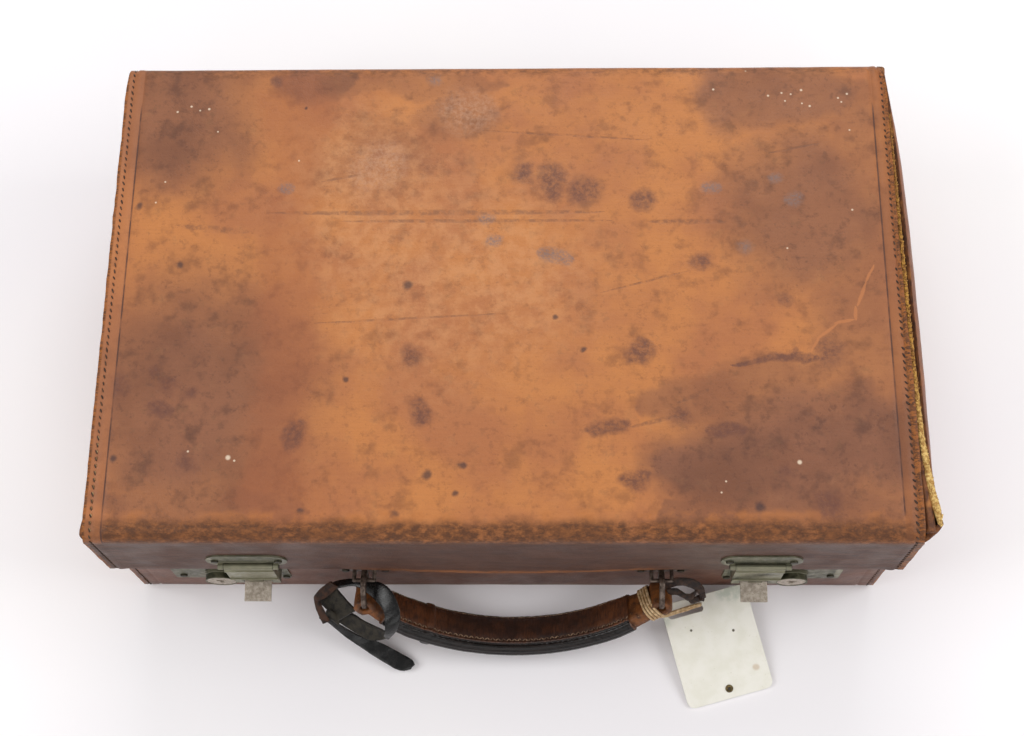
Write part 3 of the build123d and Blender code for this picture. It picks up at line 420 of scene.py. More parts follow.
bloom = look.most([look.spot(-83, 87, 17, 12, 30, 0.95, frayed),
                   look.spot(-24, 128, 16, 12, 0, 0.95, frayed)])
colour = look.tint(look.both(bloom, look.step(look.clouds(2.2, 4, 0.7), 0.3, 0.7, 0.0, 0.36)), colour,
                   srgb(202, 160, 132))
red_band = look.step(look.put("SeparateXYZ", {0: drifted}).outputs[0], -0.166, -0.146, 0.0, 1.0)
red_band = look.both(red_band, look.step(look.put("SeparateXYZ", {0: drifted}).outputs[0], -0.128, -0.108,
                                         1.0, 0.0))
colour = look.tint(look.both(red_band, 0.45), colour, srgb(152, 88, 56))
# dark stains of spilt drops, read one by one from the lid
DARK_STAINS = [(12, 83, 6.5, 8, 0), (31, 76.5, 8, 12, 0), (52, 69, 10, 8, 20), (89, 63, 8, 5, 0),
               (126, 20, 6, 5, 0), (85, -43, 5, 11, -40), (111, -85, 6, 6, 0), (66, -91, 12, 5, 10),
               (138, -94, 13, 4, 5), (82, -126, 8, 5, 0), (197.1, -141.3, 9, 8, 0),
               (203.2, -41.8, 8, 8, 0), (174, -47.5, 32, 2.2, 4), (178, -8, 4, 4, 0), (172, -119, 4, 4, 0),
               (-240, -66, 6, 6, 0), (-213, -81, 8, 3.4, 0), (-209, -66, 5, 5, 0),
               (-218, -55, 3.4, 3.4, 0), (-195, -71, 3.4, 3.4, 0), (-193, -116, 5, 5, 0),
               (-129, -98, 5, 8, 0), (-56, -46, 6, 6, 0), (-49, -83, 6, 9, 10), (-154, 152, 3.4, 3.4, 0)]
stains = look.most([look.spot(*mark, soft=0.85, place=frayed) for mark in DARK_STAINS])
colour = look.tint(look.both(stains, look.step(look.clouds(3.2, 5, 0.7), 0.34, 0.62, 0.42, 0.86)), colour,
                   srgb(104, 66, 54))
INK_DROPS = [(-237.8, 59.5, 2.4), (-207.7, 17.4, 2.4), (-132, 131, 1.2), (-61, 3, 3), (50, -41, 1.8),
             (33, -19, 1.8), (156, -143, 3.6), (50, -160, 2.2), (-98, -61, 1.8), (-24, -117, 2.4),
             (-46, -123, 3), (-28, -135, 2), (-122, -146, 2.4), (-65, -148, 3), (-239, -113, 2.6)]
ink = look.most([look.spot(x, y, r * 0.9, r * 0.9, 0, 0.6, fine_frayed) for x, y, r in INK_DROPS])
colour = look.tint(look.both(ink, 0.75), colour, srgb(62, 46, 48))
BLUE_GREY = [(-11, 49, 5, 3, 0), (-6, 34, 5, 3, 0), (33, 23, 12, 4, -15), (134, 71, 7, 3, 0),
             (187, 63, 6, 3.6, 20), (176, 78, 4, 3, 0), (154, 29, 4, 4, 0), (-142, 72, 5, 3, 0),
             (-47, 152, 4, 4, 0)]
blue = look.most([look.spot(*mark, soft=0.9, place=fine_frayed) for mark in BLUE_GREY])
colour = look.tint(look.both(blue, look.step(look.clouds(1.8, 4, 0.7), 0.38, 0.62, 0.2, 0.75)), colour,
                   srgb(122, 104, 100))
SCRATCHES = [(226, -4, 9, 1.0, 68), (221.5, -17, 5, 1.0, 90), (214, -22.5, 7, 1.0, 10),
             (203, -29, 9, 0.9, 38), (195, -38, 6, 0.8, 60), (232, 10, 7, 0.8, 62)]
scratch = look.most([look.spot(*mark, soft=0.5, place=wandering(look, 9, 1.2)) for mark in SCRATCHES])
colour = look.tint(look.both(scratch, 0.6), colour, srgb(190, 120, 72))
SCUFFS = [(-188, 43, 24, 1.6, -6), (-45, 54, 110, 1.3, 0), (-20, 48, 90, 0.9, 0), (118, 47, 26, 1.3, 0),
          (96, -88, 18, 1.0, 14), (118, -72, 11, 1.0, 24), (-107, 79, 13, 0.7, 12),
          (190, 100, 18, 0.6, 12), (-60, -20, 60, 0.6, 3), (40, 110, 55, 0.6, -4), (90, 5, 30, 0.5, 15)]
hairline = wandering(look, 12, 0.7)
scuff = look.most([look.spot(*mark, soft=0.95, place=hairline) for mark in SCUFFS])
colour = look.tint(look.both(scuff, look.step(look.clouds(4, 4, 0.65), 0.36, 0.64, 0.05, 0.6)), colour,
                   srgb(112, 74, 56))
WHITE_SPECKS = [(-218, 129, 1), (-209, 133, 1), (-203, 130, 0.8), (-197, 131, 1.1), (-190, 114, 0.8),
                (-222, 77, 0.8), (-135, 92, 0.8), (-227, 62, 0.8), (138, 144, 1), (160, 158, 0.8),
                (174, 139, 1), (183, 141, 0.9), (196, 143, 1.1), (189, 140, 0.8), (185, 135, 0.8),
                (196, 133, 0.8), (201, 131, 1), (220, 137, 0.9), (226, 140, 1), (222, 134, 0.8),
                (224, 55, 0.9), (181, 28, 0.8), (226, 113, 0.8), (-168, -112, 2), (-164, -114, 0.9),
                (-193, -108, 0.9), (181, -115, 1.8), (136, -127, 0.8), (133, -134, 0.8)]
specks = look.most([look.spot(x, y, r * 0.72, r * 0.72, 0, 0.5) for x, y, r in WHITE_SPECKS])
colour = look.tint(look.both(specks, 0.8), colour, srgb(226, 205, 180))
# wear by place: orange along the far edge and the front roll, pinkish margin outside the left crease
wander = look.both(look.sums("SUBTRACT", look.clouds(16, 3), 0.5), 0.010)
depth_here = look.sums("ADD", position[1], wander)
far_edge = look.step(depth_here, 0.1545, 0.1605)
near_edge = look.both(look.step(depth_here, -0.143, -0.149), look.step(position[1], -0.1660, -0.1605))
worn = look.both(look.sums("MAXIMUM", far_edge, near_edge),
                 look.step(look.clouds(13, 4, 0.6), 0.42, 0.62, 0.05, 0.75))
worn = look.both(worn, look.step(look.sums("ABSOLUTE", position[0]), 0.10, 0.20, 1.0, 0.55))
colour = look.tint(worn, colour, srgb(178, 110, 58))
rough_patch = look.clouds(1, 6, 0.75, look.moved(scale=(5.5, 3.4, 3.4)))
crackle = look.step(rough_patch, 0.34, 0.64)
on_roll = look.both(look.step(depth_here, -0.1480, -0.1560), look.step(position[2], 0.130, 0.139))
crackled = look.both(on_roll, look.step(look.sums("ADD", rough_patch, look.both(look.clouds(22, 3), 0.5)),
                                                    0.46, 0.78, 0.45, 0.95))
crackled_far = look.both(crackle, look.step(depth_here, 0.153, 0.159, 0.0, 0.6))
colour = look.tint(look.sums("MAXIMUM", crackled, crackled_far), colour,
                   look.tint(crackle, srgb(126, 76, 38), srgb(80, 47, 27)))
margin = look.step(look.sums("ABSOLUTE", position[0]), 0.2412, 0.2432)
left_margin = look.both(margin, look.step(position[0], 0.05, -0.05))
colour = look.tint(look.both(left_margin, 0.4), colour, srgb(176, 112, 72))
right_margin = look.both(margin, look.step(position[0], -0.05, 0.05))
colour = look.tint(look.both(right_margin, 0.35), colour, srgb(140, 84, 46))
from_crease = look.sums("SUBTRACT", look.sums("ABSOLUTE", position[0]),
                        (LID_HALF_LENGTH - CREASE_INSET) * MM)
crease = look.step(look.sums("ABSOLUTE", from_crease), 0.0007, 0.0003)
crease = look.both(crease, look.sums("MAXIMUM", look.step(position[1], -0.150, -0.144),
                                                 look.step(position[0], 0.05, -0.05)))
crease = look.both(crease, look.step(position[1], 0.136, 0.126))
crease = look.both(crease, look.step(look.clouds(14, 3), 0.3, 0.55, 0.4, 0.9))
colour = look.tint(crease, colour, srgb(78, 50, 42))
# the front and back walls are darker, greyer and glossier, with lines along their length
wall_zone = look.step(position[2], 0.1415, 0.1345)
wall_lines = look.step(look.clouds(1, 3, 0.6, look.moved(scale=(24, 3.4, 3.4))), 0.38, 0.66)
wall = look.tint(wall_lines, srgb(86, 54, 39), srgb(70, 43, 31))
wall = look.tint(look.step(look.clouds(7, 4, 0.65), 0.5, 0.7, 0.0, 0.5), wall, srgb(58, 40, 36))
wear_line = look.sums("ADD", position[2], look.both(look.clouds(18, 4), 0.008))
off_middle = look.sums("ABSOLUTE", look.sums("SUBTRACT", position[0], 0.012))
low_wear = look.both(look.step(wear_line, 0.0850, 0.0800), look.step(off_middle, 0.120, 0.050))
low_wear = look.both(low_wear, look.step(look.clouds(6, 4, 0.65), 0.30, 0.60, 0.35, 0.95))
wall = look.tint(low_wear, wall, srgb(144, 88, 46))
colour = look.tint(wall_zone, colour, wall)
end_edge = look.step(look.sums("ABSOLUTE", position[0]),
                     look.step(position[0], -0.05, 0.05, 0.2516, 0.2496),
                     look.step(position[0], -0.05, 0.05, 0.2530, 0.2506))
raw = look.tint(look.step(look.clouds(1, 4, 0.7, look.moved(scale=(5, 1.6, 1.6))), 0.42, 0.58),
                srgb(150, 88, 34), srgb(84, 48, 22))
colour = look.tint(look.both(end_edge, look.step(look.clouds(9, 3), 0.3, 0.6, 0.65, 0.97)), colour, raw)
own_grain = use_group(look, leather_grain, Pores=0.7, Cracks=0.25)
gloss = look.step(look.clouds(24, 3), 0.3, 0.7, 0.40, 0.56)
gloss = look.sums("ADD", gloss, look.both(wall_zone, 0.04))
gloss = look.sums("SUBTRACT", gloss, look.both(stains, 0.06))
height = look.sums("ADD", own_grain["Height"], look.both(look.both(on_roll, rough_patch), 1.6))
height = look.sums("SUBTRACT", height, look.both(scuff, 0.3))
connect(look, colour, gloss, height, 0.22, Specular_IOR_Level=0.32)

# cut leather: the light brown, fibrous edge of a hide, dark with handling in places
cut_leather, look = new_finish("cut_leather")
fibres = look.clouds(1, 3, 0.6, look.moved(scale=(5, 5, 0.7)))
colour = look.tint(look.step(fibres, 0.35, 0.65), srgb(128, 76, 38), srgb(74, 42, 26))
colour = look.tint(look.step(look.clouds(12, 3), 0.5, 0.7), colour, srgb(166, 108, 54))
connect(look, colour, 0.75, fibres, 0.35)


def finish_piece(piece, body, materials, nodes=()):
    """Materials, the body that carries the piece and the solids it stands for."""
    piece.data.materials.clear()
    for material in materials:
        piece.data.materials.append(material)
    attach(piece, body)
    if nodes:
        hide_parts(*nodes)
    return piece


thicken(lid_skin)
finish_piece(lid_skin, "lid", [lid_leather, cut_leather], ["lid_hide"])


# Base hide: the same hide bent under the case, in front, below and behind, 6 mm back from the lid.
# Its upper rim slides inside the lid.
BASE_HALF_LENGTH, BASE_HALF_DEPTH, BASE_RIM, BASE_ROLL = 248.6, 158.0, 100.0, 6.0


def base_shape(x, y, z, ny, nz):
    end = BASE_HALF_LENGTH - abs(x)
    sag = (0.25 * uneven(x, y, 90, 14) - 0.25) * abs(nz) * min(1, end / 20)
    rise = 0.15 * uneven(x, y + z, 22, 13) + sag
    rise -= 0.35 * groove(end - STITCH_INSET, 1.8) + 0.4 * groove(end - CREASE_INSET, 1.5)
    if end < 0.01:
        x += math.copysign(1, x) * (0.4 * uneven(y, z, 9, 19) - 0.5)
    return x, rise


FINE_INSETS = (1, 2.8, 3.7, 4.6, 5.5, 6.5, 9, 10.4, 11, 11.6, 12.2, 13, 15)
base_fine = [math.copysign(BASE_HALF_LENGTH - d, s) for s in (-1, 1) for d in FINE_INSETS]
base_skin = bent_hide("base_hide_leather", BASE_HALF_DEPTH, 0.0, BASE_RIM, BASE_ROLL, base_shape,
                      stations(-BASE_HALF_LENGTH, BASE_HALF_LENGTH, 4.0, base_fine), flip=True)
thicken(base_skin)
base_leather, look = new_finish("base_leather")
position = look.put("SeparateXYZ", {0: look.place}).outputs
lines = look.step(look.clouds(1, 3, 0.6, look.moved(scale=(24, 3.4, 3.4))), 0.38, 0.66)
colour = use_group(look, hide_mottle, Fresh=srgb(114, 72, 54), Faded=srgb(100, 64, 49),
                   Dark=srgb(62, 38, 30), Dirt=0.7)["Color"]
colour = look.tint(look.both(lines, 0.25), colour, srgb(72, 46, 38))
scraped = look.step(look.sums("ADD", position[2], look.both(look.clouds(12, 3), 0.006)), 0.0075, 0.0045)
colour = look.tint(look.both(scraped, 0.7), colour, srgb(132, 84, 50))
raw = look.tint(look.step(look.clouds(1.8, 4, 0.7), 0.42, 0.58), srgb(158, 96, 40), srgb(84, 48, 24))
colour = look.tint(look.step(look.sums("ABSOLUTE", position[0]), 0.2462, 0.2474), colour, raw)
connect(look, colour, look.step(look.clouds(20, 3), 0.3, 0.7, 0.40, 0.55),
        use_group(look, leather_grain, Pores=0.7, Cracks=0.3)["Height"], 0.22, Specular_IOR_Level=0.4)
finish_piece(base_skin, "base", [base_leather, cut_leather], ["base_hide"])

# End panels: flat hides set between the bent ones and sewn in. The lid's right one has sprung its seam:
# it bows outward, with its belly fuller below the top edge, and its front corner stands out as an ear.
def end_panel(name, side, x_outer, half_depth, low, high, roll, out):
    """A panel facing along X, with rounded upper or lower corners; out(y, z) is how far it stands proud."""
    ys = stations(-half_depth, half_depth, 4.0)
    zs = stations(low, high, 3.0)
    points = []
    for z in zs:
        for y in ys:
            corner = max(0.0, abs(y) - (half_depth - abs(roll)))
            edge = (high - z) if roll > 0 else (z - low)
            pull = max(0.0, abs(roll) - edge)
            if pull and corner:
                reach = math.hypot(pull, corner)
                if reach > abs(roll):
                    share = abs(roll) / reach
                    y = math.copysign(half_depth - abs(roll) + corner * share, y)
                    z = (high - abs(roll) + pull * share) if roll > 0 else (low + abs(roll) - pull * share)
            points.append((side * (x_outer + out(y, z)), y, z))
    faces = quads(len(zs), len(ys))
    if side < 0:
        faces = [tuple(reversed(f)) for f in faces]
    return thicken(make_mesh(name, points, faces), HIDE_THICKNESS, 0.5)


def settled(y, z):
    """A panel that has bellied a little between its seams."""
    rim = min(1.0, (160 - abs(y)) / 30) if abs(y) < 160 else 0.0
    return -0.8 + 1.2 * rim + 0.2 * uneven(y, z, 30, 21)


def left_end(y, z):
    """The lid's left panel: its near upper corner stands a little out of the seam."""
    return settled(y, z) + 3.4 * ease(y, -140, -158) * ease(z, 118, 134)


SPRUNG_PLAN = [(-160.4, 3.5, 4.5), (-157, 8.5, 9.0), (-152.5, 12.2, 12.4), (-147, 10.4, 11.0),
               (-135, 8.6, 9.8), (-120, 6.4, 9.2), (-100, 4.0, 9.6), (-60, 2.2, 9.9), (-20, 1.7, 9.7),
               (40, 1.1, 8.7), (90, 0.2, 7.0), (120, -0.3, 4.7), (140, -0.6, 2.2), (160.4, -1.2, -0.8)]


def sprung(y, z):
    """The right panel: its rim stays by the seam, and below it the hide bellies out like a shoulder."""
    ys, rims, shoulders = zip(*SPRUNG_PLAN)
    rim, shoulder = np.interp(y, ys, rims), np.interp(y, ys, shoulders)
    below = 142.4 - z
    share = math.sqrt(1 - (1 - min(1.0, below / 11)) ** 2)
    fall = 1 - 0.9 * ease(below, 14 if y > -120 else 4, 66 if y > -120 else 30)
    return (rim + (shoulder - rim) * share) * fall + 0.25 * uneven(y, z, 24, 22)


panel_leather, look = new_finish("panel_leather")
colour = use_group(look, hide_mottle, Fresh=srgb(146, 94, 66), Faded=srgb(130, 86, 64),
                   Dark=srgb(74, 44, 34), Dirt=0.6)["Color"]
rubbed_and_highlit = look.step(look.clouds(30, 4, 0.65), 0.56, 0.70)
colour = look.tint(look.both(rubbed_and_highlit, 0.4), colour, srgb(168, 108, 66))
position = look.put("SeparateXYZ", {0: look.place}).outputs
torn_corner = look.both(look.step(position[1], -0.140, -0.149), look.step(position[2], 0.112, 0.126))
torn = look.tint(look.step(look.clouds(2.4, 4, 0.7), 0.4, 0.6), srgb(92, 58, 36), srgb(46, 30, 24))
colour = look.tint(look.both(torn_corner, 0.9), colour, torn)
connect(look, colour, look.step(look.clouds(20, 3), 0.3, 0.7, 0.42, 0.58),
        use_group(look, leather_grain, Pores=0.8, Cracks=0.35)["Height"], 0.22, Specular_IOR_Level=0.4)
PANELS = [
    ("lid_end_left", -1, 254.0, 160.4, LID_EDGE, 142.4, 4.4, "lid", left_end),
    ("lid_end_right", 1, 254.0, 160.4, LID_EDGE, 142.4, 4.4, "lid", sprung),
    ("base_end_left", -1, 248.6, 154.4, 3.6, BASE_RIM, -2.4, "base", settled),
    ("base_end_right", 1, 248.6, 154.4, 3.6, BASE_RIM, -2.4, "base", settled),
]
for name, side, x_outer, half_depth, low, high, roll, body, out in PANELS:
    panel = end_panel(name + "_leather", side, x_outer, half_depth, low, high, roll, out)
    finish_piece(panel, body, [panel_leather, cut_leather], [name])

# Thread: waxed linen, dark with age, sewn in slanted stitches about 4.5 mm apart.
# One tree lays a stitch on each marked point, turned along its row and up from the leather.
tree = bpy.data.node_groups.new("stitches", "GeometryNodeTree")
tree.interface.new_socket("Points", in_out="INPUT", socket_type="NodeSocketGeometry")
STITCH_INPUTS = [("Length", "Float"), ("Width", "Float"), ("Height", "Float"), ("Slant", "Float"),
                 ("Jitter", "Float"), ("Seed", "Int"), ("Material", "Material")]
for label, kind in STITCH_INPUTS:
    tree.interface.new_socket(label, in_out="INPUT", socket_type="NodeSocket" + kind)
tree.interface.new_socket("Stitches", in_out="OUTPUT", socket_type="NodeSocketGeometry")


def gn(kind, values=(), prefix="GeometryNode", **settings):
    made = tree.nodes.new(prefix + kind)
    for name, value in settings.items():
        setattr(made, name, value)
    for key, value in dict(values).items():
        if isinstance(value, bpy.types.NodeSocket):
            tree.links.new(value, made.inputs[key])
        else:
            made.inputs[key].default_value = value
    return made


given = tree.nodes.new("NodeGroupInput").outputs
along = gn("InputNamedAttribute", {"Name": "along"}, data_type="FLOAT_VECTOR").outputs[0]
up = gn("InputNamedAttribute", {"Name": "up"}, data_type="FLOAT_VECTOR").outputs[0]
turned = gn("AxesToRotation", {0: up, 1: along}, "FunctionNode", primary_axis="Z",
            secondary_axis="X").outputs[0]
lean = gn("InputNamedAttribute", {"Name": "lean"}, data_type="FLOAT").outputs[0]
loose = gn("RandomValue", {2: -1.0, 3: 1.0, "Seed": given["Seed"]}, "FunctionNode",
           data_type="FLOAT").outputs[1]
angle = gn("Math", {0: loose, 1: given["Jitter"], 2: given["Slant"]}, "ShaderNode",
           operation="MULTIPLY_ADD").outputs[0]
angle = gn("Math", {0: angle, 1: lean}, "ShaderNode", operation="MULTIPLY").outputs[0]
spin = gn("CombineXYZ", {2: angle}, "ShaderNode").outputs[0]
spin = gn("EulerToRotation", {0: spin}, "FunctionNode").outputs[0]
turned = gn("RotateRotation", {0: turned, 1: spin}, "FunctionNode", rotation_space="LOCAL").outputs[0]
bead = gn("MeshUVSphere", {"Segments": 6, "Rings": 4, "Radius": 0.5}).outputs[0]
size = gn("CombineXYZ", {0: given["Length"], 1: given["Width"], 2: given["Height"]},
          "ShaderNode").outputs[0]
grow = gn("RandomValue", {0: (0.8, 0.8, 0.8), 1: (1.15, 1.15, 1.15), "Seed": given["Seed"]}, "FunctionNode",
          data_type="FLOAT_VECTOR").outputs[0]
size = gn("VectorMath", {0: size, 1: grow}, "ShaderNode", operation="MULTIPLY").outputs[0]
laid = gn("InstanceOnPoints", {"Points": given["Points"], "Instance": bead, "Rotation": turned,
                               "Scale": size}).outputs[0]
laid = gn("RealizeInstances", {0: laid}).outputs[0]
laid = gn("SetShadeSmooth", {0: laid}).outputs[0]
laid = gn("SetMaterial", {0: laid, "Material": given["Material"]}).outputs[0]
tree.links.new(laid, tree.nodes.new("NodeGroupOutput").inputs[0])
stitch_tree = tree


def sew(name, marks, length, width, height, slant, jitter, seed, material, body):
    """Lays one stitch on each mark (place, along, up, lean) and leaves a plain mesh that rides on the body."""
    mesh = bpy.data.meshes.new(name + "_marks")
    mesh.from_pydata([tuple(c * MM for c in mark[0]) for mark in marks], [], [])
    for label, k in (("along", 1), ("up", 2)):
        values = mesh.attributes.new(label, "FLOAT_VECTOR", "POINT")
        values.data.foreach_set("vector", [c for mark in marks for c in mark[k]])
    leans = mesh.attributes.new("lean", "FLOAT", "POINT")
    leans.data.foreach_set("value", [float(mark[3]) for mark in marks])
    marked = bpy.data.objects.new(name + "_marks", mesh)
    bpy.context.scene.collection.objects.link(marked)
    layer = marked.modifiers.new("stitches", "NODES")
    layer.node_group = stitch_tree
    sizes = {"Length": length * MM, "Width": width * MM, "Height": height * MM,
             "Slant": math.radians(slant), "Jitter": math.radians(jitter), "Seed": seed,
             "Material": material}
    for item in stitch_tree.interface.items_tree:
        if item.item_type == "SOCKET" and item.in_out == "INPUT" and item.name in sizes:
            layer[item.identifier] = sizes[item.name]
    bpy.context.view_layer.update()
    done = bpy.data.meshes.new_from_object(marked.evaluated_get(bpy.context.evaluated_depsgraph_get()))
    done.name = name
    bpy.data.objects.remove(marked)
    piece = bpy.data.objects.new(name, done)
    bpy.context.scene.collection.objects.link(piece)
    for old in list(done.attributes):
        if old.name in ("along", "up", "lean"):
            done.attributes.remove(old)
    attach(piece, body)
    return piece


dark_thread, look = new_finish("dark_thread")
twist = look.clouds(0.6, 2)
connect(look, look.tint(look.step(look.clouds(5, 3), 0.4, 0.6), srgb(52, 34, 26), srgb(84, 58, 40)), 0.8,
        twist, 0.1)
pale_thread, look = new_finish("pale_thread")
connect(look, look.tint(look.step(look.clouds(5, 3), 0.4, 0.6), srgb(172, 140, 98), srgb(128, 96, 62)), 0.8,
        look.clouds(0.6, 2), 0.1)


def row_over_hide(x, half_depth, low, high, roll, pitch, flip=False, sink=0.25, gaps=()):
    """Marks of one row of stitches over a bent hide's three faces."""
    marks = []
    front = half_depth - sink
    arc = (roll - sink) * math.pi / 2
    flat = 2 * (half_depth - roll)
    wall = high - roll - low
    total = 2 * wall + 2 * arc + flat
    for k in range(int(total / pitch)):
        s = (k + 0.5) * pitch
        if s < wall:
            y, z, ny, nz = -front, low + s, -1.0, 0.0
        elif s < wall + arc:
            a = math.pi - (s - wall) / arc * math.pi / 2
            ny, nz = math.cos(a), math.sin(a)
            y, z = -half_depth + roll + (roll - sink) * ny, high - roll + (roll - sink) * nz
        elif s < wall + arc + flat:
            y, z, ny, nz = -half_depth + roll + s - wall - arc, high - sink, 0.0, 1.0
        elif s < wall + 2 * arc + flat:
            a = math.pi / 2 - (s - wall - arc - flat) / arc * math.pi / 2
            ny, nz = math.cos(a), math.sin(a)
            y, z = half_depth - roll + (roll - sink) * ny, high - roll + (roll - sink) * nz
        else:
            y, z, ny, nz = front, high - roll - (s - wall - 2 * arc - flat), 1.0, 0.0
        if flip:
            z, nz = low + high - z, -nz
        if any(a < y < b and nz > 0.5 for a, b in gaps):
            continue
        tangent = (0.0, nz, -ny) if not flip else (0.0, -nz, ny)
        marks.append(((x + 0.2 * uneven(s, x, 7, 1), y, z), tangent, (0.0, ny, nz), 1.0))
    return marks


left_row = row_over_hide(-LID_HALF_LENGTH + STITCH_INSET, LID_HALF_DEPTH, LID_EDGE, CASE_TOP, LID_ROLL,
                         STITCH_PITCH)
right_row = row_over_hide(LID_HALF_LENGTH - STITCH_INSET, LID_HALF_DEPTH, LID_EDGE, CASE_TOP, LID_ROLL,
                          STITCH_PITCH, gaps=[(-40, -32), (15, 21)])
sew("lid_seam_stitches", left_row, 3.5, 1.1, 0.9, 24, 9, 4, dark_thread, "lid")
sew("lid_right_stitches", right_row, 4.0, 1.5, 1.0, 38, 14, 3, dark_thread, "lid")
left_pale = [((x + 0.5, y + 0.6, z + 0.25), along, up, 1.0) for (x, y, z), along, up, _ in left_row
             if y < -95 and up[2] > 0.5]
sew("lid_pale_stitches", left_pale, 2.6, 0.7, 0.6, 24, 12, 5, pale_thread, "lid")
base_rows = []
for side in (-1, 1):
    base_rows += row_over_hide(side * (BASE_HALF_LENGTH - STITCH_INSET), BASE_HALF_DEPTH, 0.0, BASE_RIM,
                               BASE_ROLL, STITCH_PITCH, flip=True, sink=0.1)
base_rows = [mark for mark in base_rows if mark[0][2] < LID_EDGE - 3]
sew("base_seam_stitches", base_rows, 3.4, 1.0, 0.8, 24, 9, 6, dark_thread, "base")

# Welt: a yellow cord of plaited fibre that fills the end seam, laid bare along the sprung right end.
# The hide's edge above it is overcast with thick brown thread.
def smooth_path(points, steps=6, closed=False):
    """More points along a path through the given ones (Catmull-Rom)."""
    count = len(points)
    result = []
    for i in range(count if closed else count - 1):
        near = []
        for k in (-1, 0, 1, 2):
            at = (i + k) % count if closed else min(max(i + k, 0), count - 1)
            near.append(np.array(points[at], float))
        for s in range(steps):
            t = s / steps
            result.append(0.5 * (2 * near[1] + (near[2] - near[0]) * t
                                 + (2 * near[0] - 5 * near[1] + 4 * near[2] - near[3]) * t * t
                                 + (3 * near[1] - near[0] - 3 * near[2] + near[3]) * t ** 3))
    if not closed:
        result.append(np.array(points[-1], float))
    return result


def face_outward(piece):
    form = bmesh.new()
    form.from_mesh(piece.data)
    bmesh.ops.recalc_face_normals(form, faces=form.faces)
    form.to_mesh(piece.data)
    form.free()
    return piece


def tube(name, path, radius, closed=False, sides=8, steps=5):
    """A round cord along a path; radius is a number or a function of the share of the way."""
    line = [Vector(p) for p in smooth_path(path, steps, closed)]
    count = len(line)
    points = []
    side = Vector((0.3, 0.2, 1)).normalized()
    for i, here in enumerate(line):
        ahead = line[(i + 1) % count] if closed or i + 1 < count else here
        behind = line[i - 1] if closed or i else here
        along = (ahead - behind).normalized()
        side = (side - along * side.dot(along)).normalized()
        other = along.cross(side)
        size = radius(i / (count - 1)) if callable(radius) else radius
        for k in range(sides):
            a = 2 * math.pi * k / sides
            points.append(tuple(here + (side * math.cos(a) + other * math.sin(a)) * size))
    faces = quads(count, sides, True, closed)
    if not closed:
        faces += [tuple(range(sides)), tuple(range((count - 1) * sides, count * sides))]
    cord = make_mesh(name, points, faces)
    return face_outward(cord)


fibre, look = new_finish("welt_fibre")
position = look.put("SeparateXYZ", {0: look.place}).outputs
shade = look.step(look.clouds(2.0, 4, 0.65), 0.36, 0.62)
colour = look.tint(shade, srgb(196, 146, 62), srgb(120, 76, 30))
colour = look.tint(look.step(position[1], -0.04, -0.13), colour,
                   look.tint(shade, srgb(228, 196, 124), srgb(168, 124, 62)))
colour = look.tint(look.step(position[1], 0.02, 0.09, 0.0, 0.55), colour, srgb(132, 84, 36))
connect(look, colour, 0.85, look.clouds(0.8, 3), 0.3)
WELT = [(126, 253.0, 0.7), (90, 253.5, 1.0), (40, 253.9, 1.3), (-20, 254.5, 1.6), (-60, 255.0, 1.9),
        (-100, 256.3, 2.2), (-130, 259.4, 2.4), (-148, 262.8, 2.5), (-155, 263.6, 1.2)]


def welt_at(y):
    ys, xs, sizes = zip(*reversed(WELT))
    return float(np.interp(y, ys, xs)), float(np.interp(y, ys, sizes))


welt_path = [(welt_at(y)[0] + 0.3 * uneven(y, 0, 7, 61), y,
              143.4 + 0.3 * uneven(y, 0, 9, 62)) for y in range(126, -156, -3)]
WELT_START, WELT_LENGTH = 126, 281


def welt_size(share):
    gone = share * WELT_LENGTH
    return welt_at(WELT_START - gone)[1] * (1 + 0.15 * uneven(gone, 0, 4, 63))


cord = tube("welt_cord", welt_path, welt_size, sides=8, steps=2)
finish_piece(cord, "lid", [fibre], ["lid_welt_right"])
welt_marks = []
chance = random.Random(11)
y = 124.0
while y > -154:
    middle, reach = welt_at(y)
    for k in (-1, 1):
        aside = k * chance.uniform(0.15, 0.75)
        turn = chance.uniform(-0.35, 0.35) + 0.5 * k
        welt_marks.append(((middle + aside * reach, y + chance.uniform(-0.8, 0.8),
                            143.3 + reach * math.sqrt(1 - aside ** 2)),
                            (math.sin(turn), math.cos(turn), 0.0), (aside * 0.7, 0.0, 1.0), 1.0))
    y -= 1.9
sew("welt_plait", welt_marks, 3.4, 1.15, 1.0, 0, 20, 7, fibre, "lid")
torn_path = [(254.6 + 0.4 * (welt_at(y)[0] - 256.0), y, 142.6 + 0.5 * uneven(y, 1, 5, 64))
             for y in range(-86, -160, -3)]
torn_edge = tube("welt_torn_edge", torn_path,
            lambda share: 1.2 + 1.9 * share + 0.5 * uneven(share * 70, 0, 3, 65), sides=8, steps=2)
finish_piece(torn_edge, "lid", [cut_leather])
tan_thread, look = new_finish("tan_thread")
connect(look, look.tint(look.step(look.clouds(3, 3), 0.4, 0.6), srgb(140, 82, 36), srgb(78, 44, 24)), 0.75,
        look.clouds(0.7, 3), 0.25)
overcast = []
y = 156.0
while y > -150:
    reach = 251.2 + 1.3 * ease(y, 30, -70) + 0.4 * uneven(y, 2, 9) - 1.6 * ease(y, 146, 158)
    overcast.append(((reach, y + 0.5 * uneven(y, 3, 5), 146.0), (0.62, 0.78, -0.1), (0.3, 0.0, 0.95), 1.0))
    y -= 2.5
sew("overcast_stitches", overcast, 4.2, 1.7, 1.6, 0, 12, 8, tan_thread, "lid")

# Metal of the locks, the plates and the hinges: brass with worn nickel, gone grey-green, its edges softened.
# Each piece is the drawn solid with its coplanar faces joined and its sharp edges rubbed round.
RECORD = frame["record"]
BODY_OF = {node: body for body, nodes in RECORD["behaviour"]["bodies"].items() for node in nodes}
SLOT_OF = {part["node"]: part["material_slot"] for part in RECORD["subparts"]}


